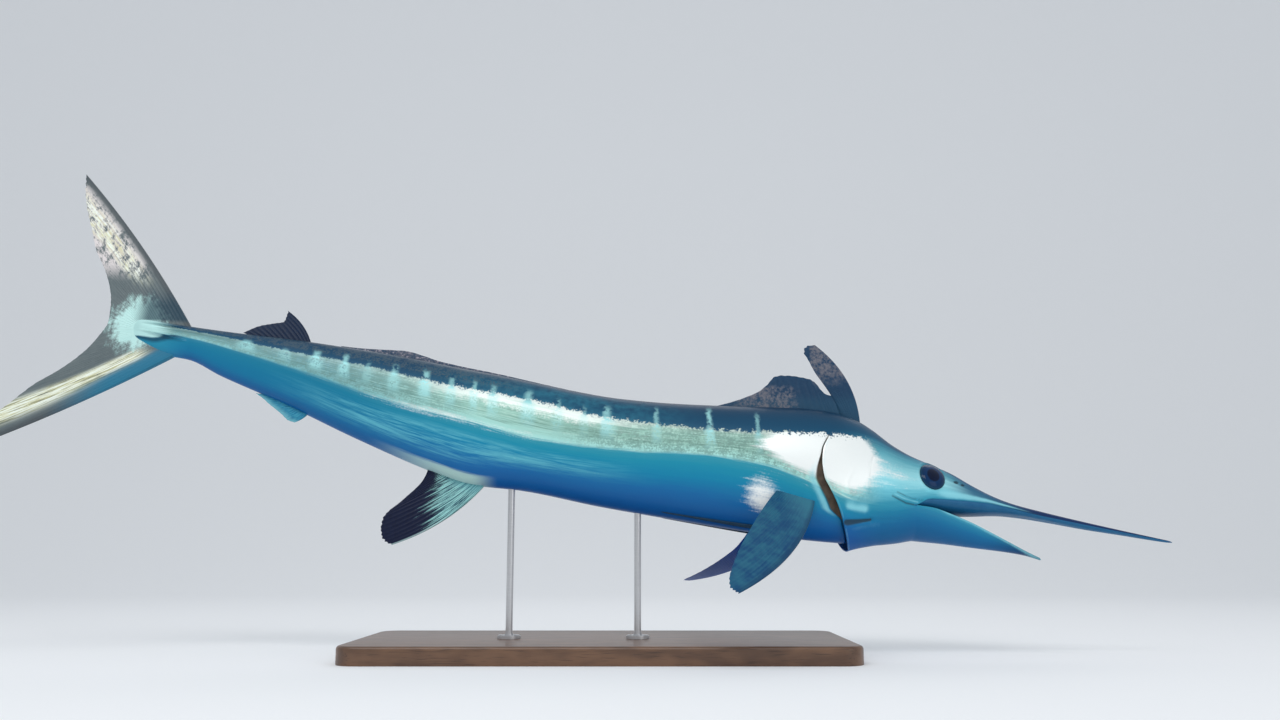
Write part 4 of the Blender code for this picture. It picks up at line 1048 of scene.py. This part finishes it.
# The light part is a wedge: it runs far out along the front rays, and less behind them
front_share = between(outward + across * 0.62 + (streak - 0.5) * 1.1, 0.7, 0.5)
dark_web = mixed(speck, (0.001, 0.004, 0.022), (0.006, 0.012, 0.044))
light_web = mixed(between(streak, 0.58, 0.44), (0.01, 0.065, 0.105), (0.3, 0.61, 0.59))
light_web = mixed(between(outward, 0.22, 0.05) * 0.6, light_web, (0.1, 0.36, 0.43))
rim = between(across, 0.03, 0.008) * between(outward, 0.4, 0.6)
sail_colour = mixed(rim * 0.7, mixed(front_share, dark_web, light_web), (0.4, 0.56, 0.56))
feed(
    shader, Base_Color=sail_colour, Roughness=0.36 + streak * 0.2,
    Normal=bumped(streak, 0.2, 0.0004),
)
settle(first_anal, sail, "fin", "anal_fin_first")

# Caudal fin: a stiff crescent whose two equal lobes clasp the tail root. It is grey brown, with
# gold and cream streaks down the middle of each lobe and a pale centre over the root.
TAIL_PITCH = math.radians(11.6)
FORK = (-0.84, 0.5705)
ROOT_CENTRE = (-0.846, 0.0, 0.582)
CENTRE_SCALE = (24.0, 0.0, 23.0)
lobe_guides = (
    ((-0.095, 0.018), (0.222, 0.29), 0.0095), ((-0.07, 0.019), (0.213, 0.262), 0.0085),
    ((-0.048, 0.02), (0.192, 0.22), 0.007), ((-0.032, 0.019), (0.166, 0.18), 0.0055),
    ((-0.02, 0.017), (0.141, 0.14), 0.0045), ((-0.012, 0.014), (0.11, 0.105), 0.0035),
    ((-0.006, 0.011), (0.089, 0.076), 0.002), ((-0.003, 0.008), (0.075, 0.05), 0.001),
    ((-0.001, 0.004), (0.066, 0.023), 0.0), ((0.0, 0.0002), (0.061, 0.0002), 0.0),
)
mirrored = [((ra, -rb), (ea, -eb), -bow) for (ra, rb), (ea, eb), bow in lobe_guides]


def tail_plane(a, b):
    """a runs back along the tail's axis, and b up from it."""
    x = FORK[0] - math.cos(TAIL_PITCH) * a + math.sin(TAIL_PITCH) * b
    return middle_plane(x, FORK[1] + math.sin(TAIL_PITCH) * a + math.cos(TAIL_PITCH) * b)


tail_fin = rayed(
    "tail_fin", list(lobe_guides[:-1]) + mirrored[::-1], rays=52, rows=34, notch=0.008,
    root_half=through((0.0, 0.0058), (0.5, 0.005), (1.0, 0.0058)), edge_half=0.0005, ridge=0.0006,
    place=tail_plane,
)
crescent, ink, shader = fin_finish("caudal_paint")
parts = kept(ink, "spread", "Vector")
across, outward = part_of(parts, "X"), part_of(parts, "Y")
upright = kept(ink, "upright", "Vector")
station, height = part_of(upright, "X"), part_of(upright, "Z")
streak = grain(stretched(parts, (60.0, 2.4, 1.0)), 1.6, 4.0, 0.7)
fleck = grain(stretched(parts, (44.0, 7.0, 1.0)), 1.5, 4.0, 0.7)
speck = grain(upright, 190.0, 2.0)
patchy = grain(stretched(upright, (1.0, 1.0, 0.55)), 75.0, 4.0, 0.75)
half_across = ink.node("ShaderNodeMath", {"operation": "ABSOLUTE"}, {0: across - 0.5}) * 2.0
below = between(across, 0.49, 0.51)
brown = mixed(streak * 0.75 + patchy * 0.25, (0.05, 0.085, 0.1), (0.22, 0.25, 0.25))
brown = mixed(between(half_across, 0.9, 0.985) * 0.7, brown, (0.06, 0.07, 0.08))
# The upper lobe is flecked with rose white over most of its width; the lower has one bright lane
flecked = between(height, 0.665, 0.715) * between(half_across, 0.97, 0.86)
broken = patchy * 0.6 + fleck * 0.4
flecked = flecked * between(broken, 0.4, 0.53) * (1.0 - below)
brown = mixed(flecked * 0.95, brown, (0.8, 0.74, 0.73))
lane = between(half_across, 0.61, 0.7) * between(half_across, 0.92, 0.8)
lane = lane * between(outward, 0.04, 0.16) * between(streak * 1.4 + fleck * 0.6, 0.66, 1.04)
gold = mixed(between(streak, 0.38, 0.6), (0.64, 0.61, 0.3), (0.9, 0.96, 0.86))
upper_lane = lane * between(height, 0.65, 0.7) * (1.0 - below) * between(broken, 0.42, 0.56)
colour = mixed(upper_lane + lane * below, brown, gold)
# Near the root the lower lobe's leading side is teal, and the centre is pale and feathered
teal_share = below * between(half_across, 0.78, 0.88) * between(station, -0.985, -0.865)
colour = mixed(teal_share * 0.9, colour, (0.018, 0.185, 0.31))
away = ink.node("ShaderNodeVectorMath", {"operation": "SUBTRACT"}, {0: upright, 1: ROOT_CENTRE})
away = ink.node("ShaderNodeVectorMath", {"operation": "MULTIPLY"}, {0: away, 1: CENTRE_SCALE})
far = ink.node("ShaderNodeVectorMath", {"operation": "LENGTH"}, {0: away}, out="Value")
ragged_far = far + (streak - 0.5) * 0.9 + (patchy - 0.5) * 1.8
centre_share = between(ragged_far, 1.45, 0.75)
colour = mixed(centre_share * 0.95, colour, (0.56, 0.85, 0.81))
# The upper lobe's leading edge is painted navy near its root
upper_base_dark = between(station, -0.86, -0.825) * between(height, 0.582, 0.592) * (1.0 - below)
upper_base_dark = upper_base_dark * between(height + (streak - 0.5) * 0.03, 0.665, 0.615)
colour = mixed(upper_base_dark * 0.85, colour, (0.014, 0.05, 0.08))
feed(
    shader, Base_Color=colour, Roughness=0.38 + streak * 0.18,
    Normal=bumped(streak + speck * 0.3, 0.25, 0.0005),
)
settle(tail_fin, crescent, "fin", "caudal_fin_upper", "caudal_fin_lower")

# Pectoral fins: long round-tipped blades, stiff along the front edge and set low behind the gill
# covers. The near one hangs down and the far one is held out and back. Painted grey teal.
BLADE_LENGTH = 0.29
blade_guides = [
    ((-SUNK, root), end, bow) for root, end, bow in (
        (0.031, (BLADE_LENGTH, -0.014), 0.026), (0.023, (0.288, -0.027), 0.019),
        (0.015, (0.27, -0.037), 0.015), (0.007, (0.232, -0.042), 0.01),
        (-0.001, (0.186, -0.044), 0.006), (-0.009, (0.138, -0.043), 0.003),
        (-0.017, (0.09, -0.041), 0.001), (-0.024, (0.048, -0.038), 0.0),
        (-0.031, (0.012, -0.034), 0.0),
    )
]
blade_paint, ink, shader = fin_finish("pectoral_paint")
parts = kept(ink, "spread", "Vector")
across, outward = part_of(parts, "X"), part_of(parts, "Y")
upright = kept(ink, "upright", "Vector")
streak = grain(stretched(parts, (26.0, 1.6, 1.0)), 2.0, 4.0, 0.65)
cloud = grain(upright, 45.0, 3.0)
web = between(streak * 0.4 + cloud * 0.6, 0.36, 0.64)
web = mixed(web, (0.004, 0.06, 0.16), (0.018, 0.125, 0.205))
web = mixed(between(outward, 0.36, 0.02) * 0.65, web, (0.06, 0.23, 0.3))
web = mixed(between(across, 0.1, 0.0) * 0.6, web, (0.006, 0.04, 0.1))
# The far blade's underside is royal blue: painted shade, tinted by the water's blue
far_underside_shade = between(part_of(upright, "Y"), 0.02, 0.06) * between(part_of(parts, "Z"), 0.6, 0.4)
web = mixed(far_underside_shade * 0.88, web, (0.002, 0.06, 0.37))
feed(shader, Base_Color=web, Roughness=0.4 + cloud * 0.12, Normal=bumped(streak, 0.2, 0.0004))
root_chord = np.array((0.927, 0.0, -0.374))
# Each blade: its names, its side, which way it reaches, its chord at the tip, and its sag
for name, node, side, reach, chord, sag in (
    ("pectoral_near", "pectoral_fin_right", -1.0, (-0.35, -0.61, -0.68), root_chord, 0.0),
    ("pectoral_far", "pectoral_fin_left", 1.0, (-0.566, 0.798, -0.21), (0.8, 0.58, 0.12), 0.024),
):
    outwards = np.array(reach) / np.linalg.norm(reach)
    root = np.array((0.33, side * 0.05, 0.256))

    def blade_place(a, b):
        """a runs out to the tip and b forward across the blade."""
        t = np.clip(a / BLADE_LENGTH, 0.0, 1.0)[..., None]
        turn = np.minimum(1.0, t / 0.4)
        line = root_chord + (chord - root_chord) * turn * turn * (3.0 - 2.0 * turn)
        forwards = line - outwards * (line @ outwards)[..., None]
        forwards = forwards / np.linalg.norm(forwards, axis=-1, keepdims=True)
        normal = np.cross(outwards, forwards)
        normal = normal / np.linalg.norm(normal, axis=-1, keepdims=True) * -side
        spot = root + outwards * a[..., None] + forwards * b[..., None] - normal * 0.012 * t * t
        spot[..., 2] -= (sag * 4.0 * t * (1.0 - t))[..., 0]
        return spot, normal

    blade = rayed(
        name, blade_guides, rays=20, rows=34, notch=0.01, place=blade_place,
        root_half=through((0.0, 0.0038), (1.0, 0.0024)), edge_half=0.00045, ridge=0.0006,
    )
    settle(blade, blade_paint, "fin", node)

# Pelvic fins: two slim straps of a few fused rays, laid back along the belly as in life. Cast in
# resin, let into the skin at their front ends and painted navy.
STRAP_FRONT = 0.335
STRAP_LENGTH = 0.235
STRAP_LIES = math.radians(163.0)
STRAP_CLOSES = 0.96
# Width of one degree of the belly's section
DEGREE_WIDTH = 0.0012
strap, ink, shader = fin_finish("pelvic_paint")
speck = grain(kept(ink, "upright", "Vector"), 180.0, 3.0)
feed(
    shader, Base_Color=mixed(speck, (0.008, 0.026, 0.07), (0.03, 0.085, 0.14)),
    Roughness=0.34 + speck * 0.2, Normal=bumped(speck, 0.25, 0.0005),
)
t = np.concatenate((np.linspace(0.0, STRAP_CLOSES, 40), (0.975, 0.988, 0.996, 1.0)))[:, None]
around = np.linspace(0.0, 2.0 * math.pi, 25)[None, :]
blunt = np.sqrt(1.0 - np.clip((t - STRAP_CLOSES) / 0.04, 0.0, 1.0) ** 2)
half = (0.0048 * (1.0 - t) + 0.0012) * blunt
swing = math.radians(1.0) / DEGREE_WIDTH * half * np.cos(around)
thick = (0.0014 * (1.0 - t) + 0.0006) * blunt * (1.0 + 0.12 * np.cos(around * 8.0))
lift = 0.0004 + thick + thick * np.sin(around)
for name, node, side in (
    ("pelvic_near", "pelvic_fin_right", -1.0), ("pelvic_far", "pelvic_fin_left", 1.0),
):
    x = STRAP_FRONT - STRAP_LENGTH * t
    points = section(x, STRAP_LIES + swing, side, belly(x), lift)
    front, end = (
        np.repeat(ring.mean(axis=1, keepdims=True), around.size, axis=1)
        for ring in (points[:1], points[-1:])
    )
    piece = closed([surface(name, np.concatenate((front, points, end)))], merge=0.00001)
    settle(piece, strap, "fin", node)

# The plinth: a slab of walnut with round corners, a softened upper edge and an oiled finish. It
# carries the two rods and stands on the floor by its own weight.
PLINTH = (0.84, 0.36, 0.03)


def pick(piece, kind, wanted):
    """Edit mode, with only the edges or faces selected whose corners pass the test."""
    mode("EDIT")
    bpy.ops.mesh.select_mode(type=kind)
    bpy.ops.mesh.select_all(action="DESELECT")
    mode("OBJECT")
    for item in piece.data.edges if kind == "EDGE" else piece.data.polygons:
        item.select = wanted([piece.data.vertices[i].co for i in item.vertices])
    mode("EDIT")


def above(level):
    return lambda corners: min(corner.z for corner in corners) > level


plinth = added(
    bpy.ops.mesh.primitive_cube_add, size=1.0, location=(0.0, 0.0, PLINTH[2] / 2.0), scale=PLINTH,
)
plinth.name = "plinth"
# Its corners are rounded, its upper edge is softened, and its lower edge is broken
for offset, segments, wanted in (
    (0.035, 14, lambda ends: abs(ends[0].z - ends[1].z) > 0.01),
    (0.006, 6, above(PLINTH[2] - 0.0001)),
    (0.0008, 2, lambda ends: max(end.z for end in ends) < 0.0001),
):
    pick(plinth, "EDGE", wanted)
    bpy.ops.mesh.bevel(offset=offset, segments=segments, profile=0.5, affect="EDGES")
    mode("OBJECT")
smoothed(30.0)


def own_place(wires):
    """The place on a piece that isn't part of the fish."""
    return wires.node("ShaderNodeTexCoord", out="Object")


walnut, ink, shader = finish_of("walnut", coat=0.25, coat_roughness=0.15)
coords = own_place(ink)
sway = grain(stretched(coords, (1.2, 5.0, 5.0)), 2.2, 3.0)
rings = ink.node(
    "ShaderNodeTexWave", {"wave_type": "BANDS", "bands_direction": "Y"},
    {"Vector": stretched(coords, (0.35, 1.0, 1.0)), "Scale": 11.0, "Distortion": 9.0,
     "Detail": 3.0, "Detail Scale": 1.4, "Detail Roughness": 0.6}, out="Fac",
)
pores = grain(stretched(coords, (9.0, 220.0, 220.0)), 3.0, 2.0)
wood = mixed(rings * 0.6 + sway * 0.4, (0.075, 0.034, 0.017), (0.19, 0.095, 0.048))
wood = mixed(between(pores, 0.56, 0.68) * 0.55, wood, (0.03, 0.014, 0.008))
feed(
    shader, Base_Color=wood, Roughness=0.34 + pores * 0.16,
    Normal=bumped(pores + rings * 0.2, 0.15, 0.0004),
)
settle(plinth, walnut, "plinth", "stand_base")

# The rods: two turned rods of brushed steel, each rising from a round foot with three socket
# screws. Each rod's top is cut to lie against the belly.
ROD_LINE = -0.018
FOOT = {"vertices": 48, "radius": 0.02, "depth": 0.0042}
# The foot's upper side and the rod, as steps inwards and upwards from the foot's rim
TURNING = (
    (0.0008, 0.0009), (0.0012, 0.0007), (0.0088, 0.0002), (0.0016, 0.0012), (0.0009, 0.002),
    (0.0007, 0.003), (0.0, 0.3),
)
SCREW = {"vertices": 20, "radius": 0.0023, "depth": 0.0014}
SCREW_RING = 0.0138
SCREW_LIFT = 0.0062
steel, ink, shader = finish_of("brushed_steel")
brush = grain(stretched(own_place(ink), (30.0, 30.0, 900.0)), 2.0, 3.0)
feed(
    shader, Base_Color=mixed(brush, (0.52, 0.52, 0.53), (0.68, 0.68, 0.69)), Metallic=1.0,
    Roughness=0.24 + brush * 0.16, Normal=bumped(brush, 0.12, 0.0002),
)
hide_points = np.empty(len(skin.data.vertices) * 3, np.float32)
skin.data.vertices.foreach_get("co", hide_points)
hide_points = hide_points.reshape(-1, 3)


def raise_face(height, inset):
    """The selected face, set in from its rim and then pulled up or pushed down."""
    if inset:
        bpy.ops.mesh.inset(thickness=inset, depth=0.0)
    bpy.ops.mesh.extrude_region_move(TRANSFORM_OT_translate={"value": (0.0, 0.0, height)})


for name, place_x in (("stand_rod_front", 0.06), ("stand_rod_rear", -0.16)):
    foot = PLINTH[2] + 0.0003
    centre = (place_x, ROD_LINE, foot + FOOT["depth"] / 2.0)
    rod = added(bpy.ops.mesh.primitive_cylinder_add, location=centre, **FOOT)
    rod.name = name.replace("stand_rod", "rod")
    pick(rod, "FACE", above(centre[2]))
    for inset, height in TURNING:
        raise_face(height, inset)
    # The rod is cut along the plane that best follows the belly over it
    near = np.hypot(hide_points[:, 0] - place_x, hide_points[:, 1] - ROD_LINE) < 0.012
    near &= hide_points[:, 2] < spine(place_x)
    local = hide_points[near]
    flat = np.column_stack((np.ones(len(local)), local[:, 0] - place_x, local[:, 1] - ROD_LINE))
    level_z, slope_x, slope_y = np.linalg.lstsq(flat, local[:, 2], rcond=None)[0]
    bpy.ops.mesh.select_all(action="SELECT")
    bpy.ops.mesh.bisect(
        plane_co=(place_x, ROD_LINE, float(level_z) - 0.0001),
        plane_no=(-float(slope_x), -float(slope_y), 1.0), use_fill=True, clear_outer=True,
    )
    mode("OBJECT")
    smoothed(35.0)
    screws = []
    for turn in (90.0, 210.0, 330.0):
        spot = (
            place_x + SCREW_RING * math.cos(math.radians(turn)),
            ROD_LINE + SCREW_RING * math.sin(math.radians(turn)), foot + SCREW_LIFT,
        )
        screws.append(added(bpy.ops.mesh.primitive_cylinder_add, location=spot, **SCREW))
        pick(screws[-1], "FACE", above(spot[2]))
        # The head's rim is chamfered, and a socket is sunk in its middle
        bpy.ops.mesh.inset(thickness=0.0004, depth=0.0002)
        raise_face(-0.001, 0.0008)
        mode("OBJECT")
        smoothed(35.0)
    joined(rod, *screws)
    settle(rod, steel, "rod", name)

# Floor and backdrop: a pale sheet of studio paper that curves up behind the fish.
# It is plain, and it isn't part of the fish.
SHEET = (60.0, 31.0, 1.0)
BACK_EDGE = 4.0
paper = added(bpy.ops.mesh.primitive_plane_add, size=1.0, location=(0.0, 0.0, 0.0))
paper.name = "paper"
mode("EDIT")
bpy.ops.mesh.select_all(action="SELECT")
bpy.ops.transform.resize(value=SHEET)
bpy.ops.transform.translate(value=(0.0, -10.5, 0.0))
pick(paper, "EDGE", lambda ends: min(end.y for end in ends) > BACK_EDGE)
bpy.ops.mesh.extrude_region_move(TRANSFORM_OT_translate={"value": (0.0, 0.0, 7.0)})
pick(
    paper, "EDGE",
    lambda ends: min(end.y for end in ends) > BACK_EDGE and max(end.z for end in ends) < 0.1,
)
bpy.ops.mesh.bevel(offset=2.6, segments=24)
mode("OBJECT")
bpy.ops.object.shade_smooth()
sheet, ink, shader = finish_of("paper", specular=0.2)
tooth = grain(own_place(ink), 300.0, 2.0)
feed(
    shader, Base_Color=mixed(tooth, (0.8, 0.81, 0.82), (0.83, 0.84, 0.85)), Roughness=0.9,
    Normal=bumped(tooth, 0.05, 0.0005),
)
# A trace of its own light keeps the paper pale to its far edges
PALE_LIGHT = (0.86, 0.9, 0.95, 1.0)
feed(shader, Emission_Color=PALE_LIGHT, Emission_Strength=0.09)
paper.data.materials.clear()
paper.data.materials.append(sheet)

# Lights: a long softbox over the flank, a low fill at the front and a wide rim behind.
# A pale surround fills the shadows.
for name, spot, target, size, power in (
    ("key", (-0.5, -1.7, 2.7), (0.0, 0.0, 0.35), (2.6, 1.0), 34.0),
    ("fill", (2.2, -2.4, 1.0), (0.3, 0.0, 0.3), (1.6, 1.6), 8.0),
    ("rim", (0.4, 1.9, 2.4), (0.0, 0.0, 0.4), (3.0, 1.0), 9.0),
):
    lamp = bpy.data.lights.new(name, "AREA")
    lamp.shape = "RECTANGLE"
    lamp.size, lamp.size_y = size
    lamp.energy = power
    holder = bpy.data.objects.new(name, lamp)
    bpy.context.scene.collection.objects.link(holder)
    holder.location = spot
    aim = Vector(target) - Vector(spot)
    holder.rotation_euler = aim.to_track_quat("-Z", "Y").to_euler()
surround = bpy.data.worlds.new("surround")
bpy.context.scene.world = surround
surround.use_nodes = True
feed(surround.node_tree.nodes["Background"], Color=PALE_LIGHT, Strength=0.66)
bpy.context.scene.view_settings.view_transform = "Standard"

# Camera: low, in front of the right flank, and tilted up as the photograph is. Its lens takes in
# 60 degrees from the left edge to the right.
lens = bpy.data.cameras.new("camera")
lens.sensor_width = 36.0
lens.lens = lens.sensor_width / 2.0 / math.tan(math.radians(30.0))
lens.clip_end = 50.0
camera = bpy.data.objects.new("camera", lens)
bpy.context.scene.collection.objects.link(camera)
camera.location = (0.064, -1.965, 0.18)
camera.rotation_euler = (math.radians(99.7), 0.0, 0.0)
bpy.context.scene.camera = camera
